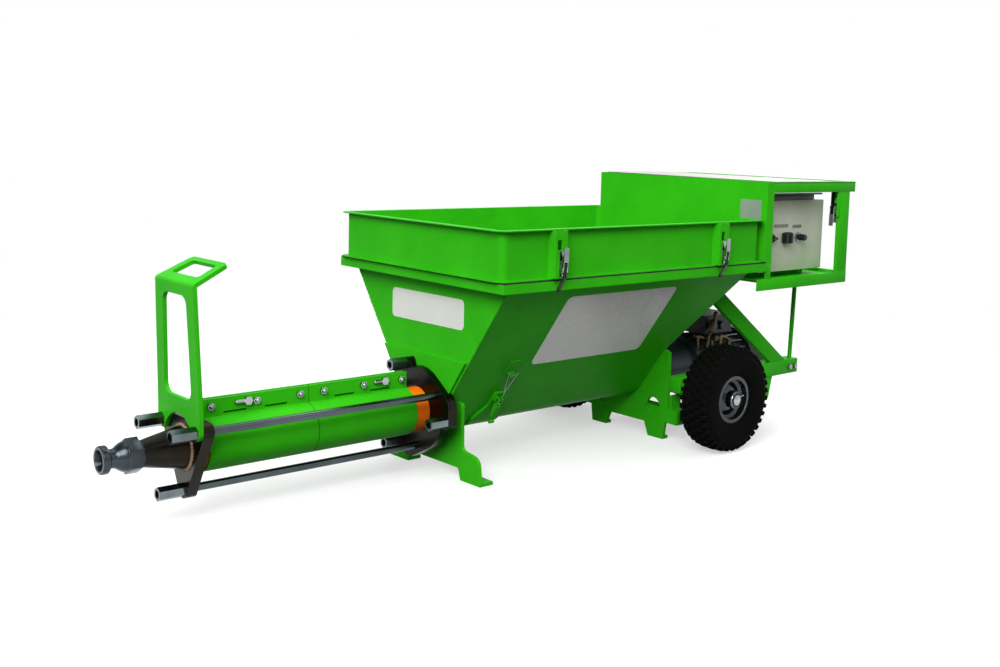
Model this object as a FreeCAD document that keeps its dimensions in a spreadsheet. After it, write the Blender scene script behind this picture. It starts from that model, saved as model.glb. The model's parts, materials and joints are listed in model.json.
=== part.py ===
import FreeCAD, Part
import math
import os
import Sketcher

# Grout pump on two wheels. X runs along the machine, with the discharge end towards -X,
# Y across it and Z up. The stations are first counted from the wheel axle; every piece is
# then moved by the same shift, which puts the origin under the middle of the whole machine.

SIZES = {
    # pump line, from the discharge end to the hopper
    "axisHeight": 149, "lipLength": 10, "lipRadius": 26.7, "grooveLength": 12, "grooveRadius": 23,
    "barrelLength": 34, "couplingBore": 20, "hexLength": 20, "hexFlats": 60, "coneLength": 82,
    "coneSmall": 25, "coneLarge": 42, "coneWall": 5, "flangeThick": 22, "flangeRadius": 58,
    "earRadius": 17, "tieRadius": 83, "tieAngle": 30, "rodRadius": 8, "rodHole": 8.5,
    "nutFlats": 24, "nutLength": 50, "studNut": 44, "rodShort": 12, "socketFloor": 2,
    "statorLength": 519, "statorRadius": 49, "rotorRadius": 20, "eccentricity": 8,
    "rotorPitch": 140, "rotorGap": 0.5, "rotorInset": 10, "rotorOut": 4, "headRadius": 17,
    "shellWall": 4, "shellFront": 9, "shellSeam": 233, "shellBack": 35, "seamGap": 2,
    "flangeTop": 87, "flangePlate": 5, "flangeGap": 4, "clampBolt": 4, "clampHead": 8,
    "clampHeight": 73, "clampPitch": 96, "clampShift": 9, "pinAhead": 19, "pinBehind": 53,
    "slitLength": 49, "slitStart": 19.5, "slitHeight": 4, "slitLevel": 55.5,
    # lifting handle on the discharge flange
    "leanStart": 75, "handleLean": 2, "handleHigh": 239, "handleHalf": 80, "windowLow": 24,
    "windowTop": 220, "windowHalfLow": 57, "windowHalfTop": 49, "windowCorner": 20,
    "gripTilt": 24, "gripLong": 75, "gripHalf": 71, "gripCorner": 12, "holdStart": 18,
    "holdEnd": 63, "holdNear": 56, "holdFar": 50,
    # suction flange, its studs and the drive shaft
    "discThick": 12, "troughFlange": 10, "discRadius": 93, "studRadius": 104, "studAngle": 66,
    "lugOut": 117, "lugSide": 17, "lugLead": 46, "lugAngle": 62, "lugCorner": 12,
    "suctionBore": 40, "ballRadius": 15.5, "socketGap": 0.5, "cupRadius": 22, "cupLength": 36,
    "rodShank": 11, "rodLength": 338, "frontPivot": 668, "shaftRadius": 17.5, "runningGap": 0.05,
    "paddleReach": 42, "paddleWidth": 34, "paddleThick": 7, "paddleStep": 52, "paddleTilt": 35,
    # hopper
    "hopperFront": 700, "troughRadius": 51, "funnelAngle": 36, "sheet": 3, "rimTop": 457,
    "skirtHeight": 20, "rimLip": 13, "rimFront": 31, "rimRear": 118, "mouthRear": 102,
    "rearWall": 42, "rearKnee": 238, "overlayTop": 271, "overlayThick": 8, "gasketThick": 3.5,
    "boxTop": 565, "boxInset": 14, "boxFront": 4, "boxLip": 13, "boxLipThick": 2.5,
    "boxRear": 103, "boxCorner": 16, "postWide": 34, "postOut": 309, "postFront": 603,
    "postBack": 78, "postSlot": 12, "postSlotHeight": 21, "postSlotTop": 543,
    # clean-out hatch under the trough
    "hatchFront": 603, "hatchLong": 83, "hatchWall": 6, "hatchRim": 8, "hatchEar": 78,
    "hatchPivot": 70, "hatchPivotOut": 12, "bailPivot": 14, "bailPivotOut": 5, "bailWire": 1.5,
    "bailTop": 146, "bailHalf": 14, "catchWide": 30, "catchTop": 177, "catchShelf": 13,
    # supports
    "frontFoot": 673, "plateThick": 8, "frontHalf": 98, "frontTop": 171, "footOut": 167,
    "footIn": 98, "footDeep": 36, "footEdge": 26, "shoulderOut": 158, "shoulderUp": 60,
    "shoulderRound": 22, "neckUp": 68, "neckRound": 12, "rearHalf": 140, "rearTop": 229, "rearFootOut": 127,
    "rearFootIn": 76, "rearFootDeep": 20, "armOut": 173, "armLow": 44, "armHigh": 79,
    "rearHole": 22, "rearHoleOut": 91, "rearHoleUp": 80,
    # chassis and wheels
    "railOut": 173, "railWide": 40, "railLow": 115, "railHigh": 163, "railWall": 3,
    "railRear": 448, "braceWide": 40, "braceDeep": 58, "braceTop": 403, "braceRear": 386,
    "hangerFront": 292, "hangerBack": 340, "hangerLow": 62,
    "wheelOut": 281, "wheelHeight": 130, "tyreRadius": 130, "tyreWide": 85, "treadWide": 60,
    "beadRadius": 53, "rimFlange": 58, "rimWide": 60, "hubRadius": 21, "hubWall": 4,
    "hubInner": 28, "hubOuter": 36, "axleRadius": 12.5, "axleCollar": 18, "hubPlay": 0.5,
    # gear motor
    "sealFlange": 62, "sealThick": 12, "sealSpigot": 40, "lanternRadius": 48, "lanternLong": 30,
    "gearRadius": 70, "gearLong": 140, "gearFlange": 80, "gearFlangeThick": 12,
    "motorRadius": 72, "motorLong": 200, "finHeight": 12, "finThick": 4, "finCount": 24,
    "cowlRadius": 88, "cowlLong": 90, "cowlWall": 2.5, "fanRadius": 70, "fanBlades": 8,
    "fanStart": 12, "fanLong": 30, "cowlSlot": 7, "cowlPitch": 14, "cowlCorner": 12,
    "glandFirst": 25, "glandStep": 35, "glandLong": 14, "glandUp": 22, "glandFlats": 22,
    "motorShaft": 10, "terminalWide": 90, "terminalLong": 110, "terminalHigh": 52,
    # drive end frame and cabinet
    "panelHalf": 294, "panelLow": 442, "machineTop": 660, "panelFlange": 26, "frameSheet": 3,
    "beamHigh": 27, "beamRear": 500, "trayLow": 388, "trayHigh": 417, "trayFront": 98,
    "trayRear": 477, "rearPostFront": 427, "rearPostWide": 46, "rearPostDeep": 27,
    "coverThick": 1.5, "coverRear": 400, "cabinetFront": 160, "cabinetRear": 435,
    "cabinetNear": 240, "cabinetFar": 160, "cabinetTop": 608, "cabinetWall": 2, "doorThick": 3,
    "stayRadius": 6, "stayX": 425, "stayOut": 153,
    "knobHeight": 511, "knobGap": 0.3, "knobStart": 52, "knobStep": 56,
    # draw latches, counted from the pivot of the lever
    "latchFront": 584, "latchRear": 61, "latchHeight": 480, "latchHalf": 8, "latchSheet": 1.5,
    "latchPin": 2, "latchPivotOut": 5.5, "latchEye": 5, "latchLong": 48, "strapPivotUp": 13,
    "strapPivotOut": 3.5, "strapPin": 1.5, "strapEye": 3, "strapThick": 2, "latchGap": 0.3,
    "webOut": 6.4, "webStart": 17, "latchBaseTop": 40, "latchBaseLow": 12, "postLugGap": 1.5,
    "postLatchReach": 41, "postLugHigh": 14,
}

doc = FreeCAD.newDocument("GroutPump")
sheet = doc.addObject("Spreadsheet::Sheet", "Sizes")
for row, (alias, number) in enumerate(SIZES.items(), 1):
    sheet.set("A%d" % row, alias)
    sheet.set("B%d" % row, str(number))
    sheet.setAlias("B%d" % row, alias)
doc.recompute()


class Size:
    # a length or a number of the sheet, or a formula of such values, kept as its number and
    # as the text that is bound to the document's properties
    def __init__(self, number, text):
        self.number = float(number)
        self.text = text

    def __add__(self, other):
        return Size(self.number + number_of(other), "(%s + %s)" % (self.text, text_of(other)))

    def __radd__(self, other):
        return Size(number_of(other) + self.number, "(%s + %s)" % (text_of(other), self.text))

    def __sub__(self, other):
        return Size(self.number - number_of(other), "(%s - %s)" % (self.text, text_of(other)))

    def __rsub__(self, other):
        return Size(number_of(other) - self.number, "(%s - %s)" % (text_of(other), self.text))

    def __mul__(self, other):
        return Size(self.number * number_of(other), "(%s * %s)" % (self.text, text_of(other)))

    def __rmul__(self, other):
        return self * other

    def __truediv__(self, other):
        return Size(self.number / number_of(other), "(%s / %s)" % (self.text, text_of(other)))

    def __neg__(self):
        return Size(-self.number, "(0 - %s)" % self.text)


def number_of(value):
    return value.number if isinstance(value, Size) else float(value)


def text_of(value):
    return value.text if isinstance(value, Size) else "(%.9g)" % value


def sine(angle):
    return Size(math.sin(math.radians(number_of(angle))), "sin(%s)" % text_of(angle))


def cosine(angle):
    return Size(math.cos(math.radians(number_of(angle))), "cos(%s)" % text_of(angle))


def tangent(angle):
    return Size(math.tan(math.radians(number_of(angle))), "tan(%s)" % text_of(angle))


def root(value):
    return Size(math.sqrt(number_of(value)), "sqrt(%s)" % text_of(value))


class SheetValues:
    def __getattr__(self, alias):
        return Size(sheet.get(alias), "Sizes." + alias)


d = SheetValues()

# stations along X, counted from the axle
hopFront = -d.hopperFront
flangeJoint = hopFront - d.troughFlange
discFace = flangeJoint - d.discThick
statorFront = discFace - d.statorLength
dischFront = statorFront - d.flangeThick
coneFront = dischFront - d.coneLength
hexFront = coneFront - d.hexLength
lipFront = hexFront - d.barrelLength - d.grooveLength - d.lipLength
shift = -(lipFront + d.beamRear) / 2

# the funnel's side planes touch the round trough along this line
touchHalf = d.troughRadius * cosine(d.funnelAngle)
touchHeight = d.axisHeight - d.troughRadius * sine(d.funnelAngle)
innerTrough = d.troughRadius - d.sheet
rimHalf = touchHalf + (d.rimTop - touchHeight) * tangent(d.funnelAngle) + d.rimLip
skirtLow = d.rimTop - d.skirtHeight
gasketTop = d.rimTop + d.gasketThick
boxHalf = rimHalf - d.boxInset
boxFace = hopFront - d.rimFront + d.boxFront
boxLow = gasketTop + d.boxLipThick
bendCosine = cosine(d.funnelAngle)

# the post latch hangs from a lug close under the top beam
beamLow = d.machineTop - d.coverThick - d.beamHigh
postLugTop = beamLow - d.postLugGap
postLatchHeight = postLugTop - d.postLatchReach

# stations of the gear motor
gearFront = -d.rearWall + d.sealThick + d.lanternLong
gearBack = gearFront + d.gearLong
motorFront = gearBack + d.gearFlangeThick
motorBack = motorFront + d.motorLong
cowlBack = motorBack + d.cowlLong

NODES = {}
ALONG_X = FreeCAD.Rotation(FreeCAD.Vector(0, 1, 0), 90)
ALONG_Y = FreeCAD.Rotation(FreeCAD.Vector(1, 0, 0), -90)
UPRIGHT = FreeCAD.Rotation()
PLANE_AXES = {"XY_Plane": (0, 1), "XZ_Plane": (0, 2), "YZ_Plane": (1, 2)}


def bind(target, prop, value):
    target.setExpression(prop, text_of(value))


def move(target, x=0, y=0, z=0, rotation=UPRIGHT):
    target.Placement = FreeCAD.Placement(FreeCAD.Vector(0, 0, 0), rotation)
    for letter, value in zip("xyz", (x, y, z)):
        if isinstance(value, Size) or value != 0:
            bind(target, "Placement.Base." + letter, value)
    return target


def node(label, target, x=0, y=0, z=0, rotation=UPRIGHT):
    # a finished sub-part: its Label names its file, and it takes the machine's shift
    target.Label = label
    move(target, shift + x, y, z, rotation)
    NODES[label] = target
    return target


def box(x, y, z, long, wide, high):
    made = doc.addObject("Part::Box", "Block")
    bind(made, "Length", long)
    bind(made, "Width", wide)
    bind(made, "Height", high)
    return move(made, x, y, z)


def bar(rotation, x, y, z, radius, length):
    made = doc.addObject("Part::Cylinder", "Bar")
    bind(made, "Radius", radius)
    bind(made, "Height", length)
    return move(made, x, y, z, rotation)


def hexagon(rotation, x, y, z, flats, length):
    made = doc.addObject("Part::Prism", "Hexagon")
    made.Polygon = 6
    bind(made, "Circumradius", flats / math.sqrt(3))
    bind(made, "Height", length)
    return move(made, x, y, z, rotation)


def dome(x, y, z, radius):
    made = doc.addObject("Part::Sphere", "Dome")
    bind(made, "Radius", radius)
    return move(made, x, y, z)


def fuse(pieces):
    made = doc.addObject("Part::MultiFuse", "Joined")
    made.Shapes = pieces
    made.Refine = True
    return made


def cut(base, tools):
    made = doc.addObject("Part::Cut", "Trimmed")
    made.Base = base
    made.Tool = tools[0] if len(tools) == 1 else fuse(tools)
    made.Refine = True
    return made


def common(first, second):
    made = doc.addObject("Part::Common", "Shared")
    made.Base = first
    made.Tool = second
    return made


def group(pieces):
    # separate solids of one kind in one node
    made = doc.addObject("Part::Compound", "Group")
    made.Links = pieces
    return made


def sketch_on(body, plane, offset=0):
    sketch = body.newObject("Sketcher::SketchObject", "Outline")
    for feature in body.Origin.OriginFeatures:
        if feature.Role == plane:
            sketch.AttachmentSupport = [(feature, "")]
    sketch.MapMode = "FlatFace"
    if isinstance(offset, Size) or offset != 0:
        bind(sketch, "AttachmentOffset.Base.z", offset)
    return sketch


def hold_point(sketch, geometry, position, u, v):
    # ties a point of the sketch to its two distances from the origin
    for kind, value, axis in (("DistanceX", u, -2), ("DistanceY", v, -1)):
        if not isinstance(value, Size) and value == 0:
            sketch.addConstraint(Sketcher.Constraint("PointOnObject", geometry, position, axis))
        else:
            index = sketch.addConstraint(
                Sketcher.Constraint(kind, -1, 1, geometry, position, number_of(value)))
            sketch.setExpression("Constraints[%d]" % index, text_of(value))


def draw_outline(sketch, points):
    first = len(sketch.Geometry)
    count = len(points)
    ends = [FreeCAD.Vector(number_of(point[0]), number_of(point[1]), 0) for point in points]
    lines = [Part.LineSegment(ends[i], ends[(i + 1) % count]) for i in range(count)]
    sketch.addGeometry(lines, False)
    for i in range(count):
        following = first + (i + 1) % count
        sketch.addConstraint(Sketcher.Constraint("Coincident", first + i, 2, following, 1))
    for i, point in enumerate(points):
        hold_point(sketch, first + i, 1, point[0], point[1])


def draw_circle(sketch, u, v, radius):
    centre = FreeCAD.Vector(number_of(u), number_of(v), 0)
    circle = Part.Circle(centre, FreeCAD.Vector(0, 0, 1), number_of(radius))
    index = sketch.addGeometry(circle, False)
    hold_point(sketch, index, 3, u, v)
    size = sketch.addConstraint(Sketcher.Constraint("Radius", index, number_of(radius)))
    sketch.setExpression("Constraints[%d]" % size, text_of(radius))


def pad(body, sketch, length):
    feature = body.newObject("PartDesign::Pad", "Pad")
    feature.Profile = sketch
    bind(feature, "Length", length)
    return feature


def pocket(body, sketch, length, backwards):
    feature = body.newObject("PartDesign::Pocket", "Pocket")
    feature.Profile = sketch
    feature.Reversed = backwards
    bind(feature, "Length", length)
    return feature


def polar(body, features, axis, count):
    feature = body.newObject("PartDesign::PolarPattern", "Around")
    feature.Originals = features
    for origin in body.Origin.OriginFeatures:
        if origin.Role == axis:
            feature.Axis = (origin, [""])
    feature.Angle = 360
    feature.Occurrences = count
    body.Tip = feature
    return feature


def corner_edges(shape, plane, u, v):
    # the straight edges that stand on the point u, v of a padded outline
    first, second = PLANE_AXES[plane]
    names = []
    for index, edge in enumerate(shape.Edges, 1):
        ends = [vertex.Point for vertex in edge.Vertexes]
        if all(abs(end[first] - u) < 0.01 and abs(end[second] - v) < 0.01 for end in ends):
            names.append("Edge%d" % index)
    return names


def round_corners(body, plane, points):
    # a third value of an outline's point is the radius of its corner
    radii = []
    for point in points:
        if len(point) == 3 and text_of(point[2]) not in [text_of(size) for size in radii]:
            radii.append(point[2])
    for radius in radii:
        doc.recompute()
        base = body.Tip
        names = []
        for point in points:
            if len(point) == 3 and text_of(point[2]) == text_of(radius):
                names += corner_edges(base.Shape, plane, number_of(point[0]), number_of(point[1]))
        fillet = body.newObject("PartDesign::Fillet", "Rounded")
        fillet.Base = (base, names)
        bind(fillet, "Radius", radius)


def plate(plane, points, thickness, offset=0, holes=()):
    # an outline padded along the plane's normal: +Z, -Y or +X
    body = doc.addObject("PartDesign::Body", "Plate")
    sketch = sketch_on(body, plane, offset)
    draw_outline(sketch, points)
    for hole in holes:
        draw_circle(sketch, *hole)
    pad(body, sketch, thickness)
    round_corners(body, plane, points)
    return body


def turned(profile):
    # a profile of stations along X and radii, turned about the X axis
    body = doc.addObject("PartDesign::Body", "Turned")
    sketch = sketch_on(body, "XZ_Plane")
    draw_outline(sketch, profile)
    feature = body.newObject("PartDesign::Revolution", "Revolution")
    feature.Profile = sketch
    feature.ReferenceAxis = (sketch, ["H_Axis"])
    feature.Angle = 360
    return body


def mirrored(points):
    # the whole outline from its half at positive u, bottom to top
    return points + [(-point[0],) + tuple(point[1:]) for point in reversed(points)]


def eared_flange(radius, bolt_radius, angle, hole, bore, front, thick):
    # a disc with three rounded ears, whose sides run straight onto the disc
    lean = (radius - d.earRadius) / bolt_radius
    rise = root(1 - lean * lean)
    body = doc.addObject("PartDesign::Body", "Flange")
    disc = sketch_on(body, "YZ_Plane", front)
    draw_circle(disc, 0, 0, radius)
    pad(body, disc, thick)
    turn = cosine(angle)
    side = sine(angle)

    def turned_point(along, across):
        return (along * turn - across * side, along * side + across * turn)

    web = sketch_on(body, "YZ_Plane", front)
    inner = (radius * lean, radius * rise)
    outer = (bolt_radius + d.earRadius * lean, d.earRadius * rise)
    draw_outline(web, [turned_point(inner[0], -inner[1]), turned_point(outer[0], -outer[1]),
                       turned_point(*outer), turned_point(*inner)])
    ear = sketch_on(body, "YZ_Plane", front)
    centre = turned_point(bolt_radius, 0)
    draw_circle(ear, centre[0], centre[1], d.earRadius)
    polar(body, [pad(body, web, thick), pad(body, ear, thick)], "X_Axis", 3)
    doc.recompute()
    holes = sketch_on(body, "YZ_Plane", front)
    draw_circle(holes, centre[0], centre[1], hole)
    polar(body, [pocket(body, holes, thick, True)], "X_Axis", 3)
    doc.recompute()
    middle = sketch_on(body, "YZ_Plane", front)
    draw_circle(middle, 0, 0, bore)
    pocket(body, middle, thick, True)
    return body


def around(radius, angle):
    return radius * cosine(angle), radius * sine(angle)


def hose_coupling():
    # the male half of a cam and groove coupling on a hexagon
    back = lipFront + d.lipLength
    edge = d.lipLength / 6
    body = turned([
        (lipFront, d.couplingBore), (lipFront, d.lipRadius - edge), (lipFront + edge, d.lipRadius),
        (back, d.lipRadius), (back + edge, d.grooveRadius),
        (back + d.grooveLength - edge, d.grooveRadius), (back + d.grooveLength, d.lipRadius),
        (hexFront, d.lipRadius), (hexFront, d.coneSmall), (coneFront, d.coneSmall),
        (coneFront, d.couplingBore)])
    nut = cut(hexagon(ALONG_X, hexFront, 0, 0, d.hexFlats, d.hexLength),
              [bar(ALONG_X, hexFront, 0, 0, d.coneSmall, d.hexLength)])
    node("hose_coupling", fuse([body, nut]), z=d.axisHeight)


def discharge_cone():
    # reducing cone welded to the three-eared discharge flange
    flange = eared_flange(d.flangeRadius, d.tieRadius, d.tieAngle, d.rodHole,
                          d.coneLarge - d.coneWall, dischFront, d.flangeThick)
    cone = turned([(coneFront, d.couplingBore), (coneFront, d.coneSmall), (dischFront, d.coneLarge),
                   (dischFront, d.coneLarge - d.coneWall)])
    node("discharge_cone", fuse([flange, cone]), z=d.axisHeight)


def axial_place(x):
    # lays a screw that was built along Z along X: its own X and Y become Y and Z
    turn = FreeCAD.Rotation(FreeCAD.Vector(0, 1, 0), FreeCAD.Vector(0, 0, 1),
                            FreeCAD.Vector(1, 0, 0))
    return FreeCAD.Placement(FreeCAD.Vector(x, 0, 0), turn)


def helix_sweep(profile, radius, pitch, length):
    # a section carried along a helix about Z without turning
    path = Part.makeHelix(pitch, length, radius)
    pipe = Part.BRepOffsetAPI.MakePipeShell(Part.Wire(path.Edges))
    pipe.setTrihedronMode(FreeCAD.Vector(0, 0, 0), FreeCAD.Vector(0, 0, 1))
    pipe.add(profile)
    pipe.build()
    pipe.makeSolid()
    return pipe.shape()


def rotor():
    # single-start screw: a circle whose centre runs along a helix, on a round head
    reach = d.rotorRadius.number
    off = d.eccentricity.number
    length = d.statorLength.number - d.rotorInset.number + d.rotorOut.number
    circle = Part.Circle(FreeCAD.Vector(off, 0, 0), FreeCAD.Vector(0, 0, 1), reach)
    screw = helix_sweep(Part.Wire(circle.toShape()), off, d.rotorPitch.number, length)
    screw.Placement = axial_place(statorFront.number + d.rotorInset.number)
    neck = statorFront.number + d.rotorInset.number + length
    pivot = -d.frontPivot.number
    cup_front = pivot - d.cupLength.number / 2
    head = Part.makeCylinder(d.headRadius.number, cup_front - neck, FreeCAD.Vector(neck, 0, 0),
                             FreeCAD.Vector(1, 0, 0))
    solid = screw.fuse([head, ball_cup(cup_front, pivot, 1)])
    made = doc.addObject("Part::Feature", "Rotor")
    made.Shape = solid.removeSplitter()
    node("rotor", made, y=d.eccentricity, z=d.axisHeight)


def ball_cup(front, pivot, side):
    # socket around one ball of the coupling rod, open towards the rod
    axis = FreeCAD.Vector(1, 0, 0)
    ball = d.ballRadius.number + d.socketGap.number
    cup = Part.makeCylinder(d.cupRadius.number, d.cupLength.number, FreeCAD.Vector(front, 0, 0),
                            axis)
    mouth = Part.makeCylinder(d.rodShank.number + 3 * d.socketGap.number + 1, d.cupLength.number,
                              FreeCAD.Vector(pivot, 0, 0), axis * side)
    return cup.cut([Part.makeSphere(ball, FreeCAD.Vector(pivot, 0, 0)), mouth])


def coupling_rod():
    # plain rod with a ball at each end, lying askew between the shaft and the rotor's axis
    start = FreeCAD.Vector(-d.frontPivot.number, d.eccentricity.number, 0)
    end = FreeCAD.Vector(-d.frontPivot.number + d.rodLength.number, 0, 0)
    along = end - start
    ball = d.ballRadius.number
    shank = Part.makeCylinder(d.rodShank.number, along.Length, start, along)
    made = doc.addObject("Part::Feature", "CouplingRod")
    made.Shape = shank.fuse([Part.makeSphere(ball, start), Part.makeSphere(ball, end)])
    node("coupling_rod", made, z=d.axisHeight)


def stator():
    # elastomer tube whose two-start bore is a slot that turns half as fast as the rotor
    wide = d.rotorRadius.number + d.rotorGap.number
    reach = 2 * d.eccentricity.number
    length = d.statorLength.number
    first = FreeCAD.Vector(reach, wide, 0)
    second = FreeCAD.Vector(-reach, wide, 0)
    third = FreeCAD.Vector(-reach, -wide, 0)
    fourth = FreeCAD.Vector(reach, -wide, 0)
    slot = Part.Wire([
        Part.LineSegment(first, second).toShape(),
        Part.Arc(second, FreeCAD.Vector(-reach - wide, 0, 0), third).toShape(),
        Part.LineSegment(third, fourth).toShape(),
        Part.Arc(fourth, FreeCAD.Vector(reach + wide, 0, 0), first).toShape()])
    # the rotor's section stands at zero where the screw starts, inside the tube
    phase = -180 * d.rotorInset.number / d.rotorPitch.number
    slot.rotate(FreeCAD.Vector(0, 0, 0), FreeCAD.Vector(0, 0, 1), phase)
    spine = Part.Wire([Part.LineSegment(FreeCAD.Vector(0, 0, 0),
                                        FreeCAD.Vector(0, 0, length)).toShape()])
    guide = Part.makeHelix(2 * d.rotorPitch.number, length, d.statorRadius.number)
    pipe = Part.BRepOffsetAPI.MakePipeShell(spine)
    pipe.setAuxiliarySpine(Part.Wire(guide.Edges), True, 0)
    pipe.add(slot)
    pipe.build()
    pipe.makeSolid()
    hollow = pipe.shape()
    hollow.Placement = axial_place(statorFront.number)
    made = doc.addObject("Part::Feature", "Stator")
    made.Shape = Part.makeCylinder(d.statorRadius.number, length,
                                   FreeCAD.Vector(statorFront.number, 0, 0),
                                   FreeCAD.Vector(1, 0, 0)).cut(hollow)
    node("stator", made, z=d.axisHeight)


def clamp_shells():
    # split sleeves that squeeze the stator; their flanges stand up along the top
    outer = d.statorRadius + d.shellWall
    start = statorFront + d.shellFront
    seam = start + d.shellSeam
    end = discFace - d.shellBack
    shells = {"clamp_shell_front": (start, seam, (start + seam) / 2, -d.pinAhead),
              "clamp_shell_rear": (seam + d.seamGap, end, (seam + end) / 2 + d.clampShift,
                                   d.pinBehind)}
    bolts = []
    for label, (front, back, middle, pin) in shells.items():
        length = back - front
        sleeve = turned([(front, d.statorRadius), (front, outer), (back, outer),
                         (back, d.statorRadius)])
        low = box(front, -d.flangeGap - d.flangePlate, d.statorRadius, length,
                  2 * (d.flangeGap + d.flangePlate), d.flangeTop - d.statorRadius)
        gap = box(front - 1, -d.flangeGap, 0, length + 2, 2 * d.flangeGap, d.flangeTop + 1)
        slits = [box(x, -outer, d.slitLevel, d.slitLength, outer, d.slitHeight)
                 for x in (middle - d.slitStart - d.slitLength, middle + d.slitStart)]
        inside = bar(ALONG_X, front - 1, 0, 0, d.statorRadius, length + 2)
        stations = [middle - d.clampPitch, middle, middle + d.clampPitch]
        holes = [bar(ALONG_Y, x, -outer, d.clampHeight, d.clampBolt, 2 * outer)
                 for x in stations]
        node(label, cut(fuse([sleeve, low]), [gap, inside] + slits + holes), z=d.axisHeight)
        bolts += [clamp_screw(x) for x in stations] + [tension_pin(middle + pin)]
    node("clamp_bolts", group(bolts), z=d.axisHeight)


def clamp_screw(x):
    # screw across both flanges with a hexagon head and a domed nut
    face = d.flangeGap + d.flangePlate
    shank = bar(ALONG_Y, x, -face, d.clampHeight, d.clampBolt, 2 * face)
    head = hexagon(ALONG_Y, x, face, d.clampHeight, 1.7 * d.clampHead, d.clampHead * 0.7)
    nut = hexagon(ALONG_Y, x, -face - d.clampHead * 0.8, d.clampHeight, 1.7 * d.clampHead,
                  d.clampHead * 0.8)
    cap = dome(x, -face - d.clampHead * 0.8, d.clampHeight, d.clampHead * 0.68)
    return fuse([shank, head, nut, cap])


def tension_pin(x):
    # pin that lies along the flange beside a hexagon
    face = d.flangeGap + d.flangePlate
    head = hexagon(ALONG_Y, x, -face - d.clampHead, d.clampHeight + 2, 2 * d.clampHead,
                   d.clampHead)
    pin = bar(ALONG_X, x - 3 * d.clampHead, -face - d.clampHead / 2, d.clampHeight + 2,
              d.clampHead / 2, 3 * d.clampHead)
    tip = dome(x - 3 * d.clampHead, -face - d.clampHead / 2, d.clampHeight + 2, d.clampHead / 2)
    return fuse([head, pin, tip])


def tie_angles():
    return [d.tieAngle, 180 - d.tieAngle, -90]


def nut_seat(index):
    # the two upper nuts clamp the lifting handle, the lower one bears on the flange
    return dischFront - d.plateThick if index < 2 else dischFront


def tie_rods():
    # threaded rods that hold the stator between the two flanges
    rods = []
    for index, angle in enumerate(tie_angles()):
        y, z = around(d.tieRadius, angle)
        front = nut_seat(index) - d.nutLength + d.rodShort
        rods.append(bar(ALONG_X, front, y, z, d.rodRadius,
                        flangeJoint - d.socketFloor - front))
    stud_front = discFace - d.studNut + d.rodShort
    for y, z in stud_places():
        rods.append(bar(ALONG_X, stud_front, y, z, d.rodRadius, hopFront - stud_front))
    node("tie_rods", group(rods), z=d.axisHeight)


def long_nuts():
    # long nuts on the tie rods and on the studs of the suction flange
    nuts = []
    for index, angle in enumerate(tie_angles()):
        y, z = around(d.tieRadius, angle)
        nuts.append(long_nut(nut_seat(index) - d.nutLength, y, z, d.nutLength))
    for y, z in stud_places():
        nuts.append(long_nut(discFace - d.studNut, y, z, d.studNut))
    node("long_nuts", group(nuts), z=d.axisHeight)


def long_nut(x, y, z, length):
    return cut(hexagon(ALONG_X, x, y, z, d.nutFlats, length),
               [bar(ALONG_X, x - 1, y, z, d.rodRadius, length + 2)])


def stud_places():
    return [around(d.studRadius, d.studAngle + 120 * step) for step in range(3)]


def lugged_flange(front, thick, grow):
    # a disc with three lugs: one side of each runs straight onto the disc, one is square
    radius = d.discRadius + grow
    out = d.lugOut + grow
    side = d.lugSide + grow
    pieces = [bar(ALONG_X, front, 0, 0, radius, thick)]
    for step in range(3):
        lug = plate("YZ_Plane", [
            (0, 0), (radius * cosine(d.lugAngle), -radius * sine(d.lugAngle)),
            (out - 5, -d.lugLead - grow, 3 * d.lugCorner), (out, side, d.lugCorner),
            (radius * 0.8, side)], thick, front)
        turn = FreeCAD.Rotation(FreeCAD.Vector(1, 0, 0), d.studAngle.number + 120 * step)
        pieces.append(move(lug, rotation=turn))
    return fuse(pieces)


def flange_holes(front, thick, stud_hole):
    # the port and the three stud holes of the suction flange and of the trough's flange
    holes = [bar(ALONG_X, front - 1, 0, 0, d.suctionBore, thick + 2)]
    for y, z in stud_places():
        holes.append(bar(ALONG_X, front - 1, y, z, stud_hole, thick + 2))
    return holes


def suction_flange():
    # lugged disc in front of the trough's flange: tie rods screw into it, studs pass its lugs
    sockets = []
    for angle in tie_angles():
        y, z = around(d.tieRadius, angle)
        sockets.append(bar(ALONG_X, discFace - 1, y, z, d.rodRadius,
                           d.discThick - d.socketFloor + 1))
    body = lugged_flange(discFace, d.discThick, 0)
    holes = flange_holes(discFace, d.discThick, d.rodHole)
    node("suction_flange", cut(body, holes + sockets), z=d.axisHeight)
    welded = lugged_flange(flangeJoint, d.troughFlange, 0)
    holes = flange_holes(flangeJoint, d.troughFlange, d.rodRadius)
    node("trough_flange", cut(welded, holes), z=d.axisHeight)


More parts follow.
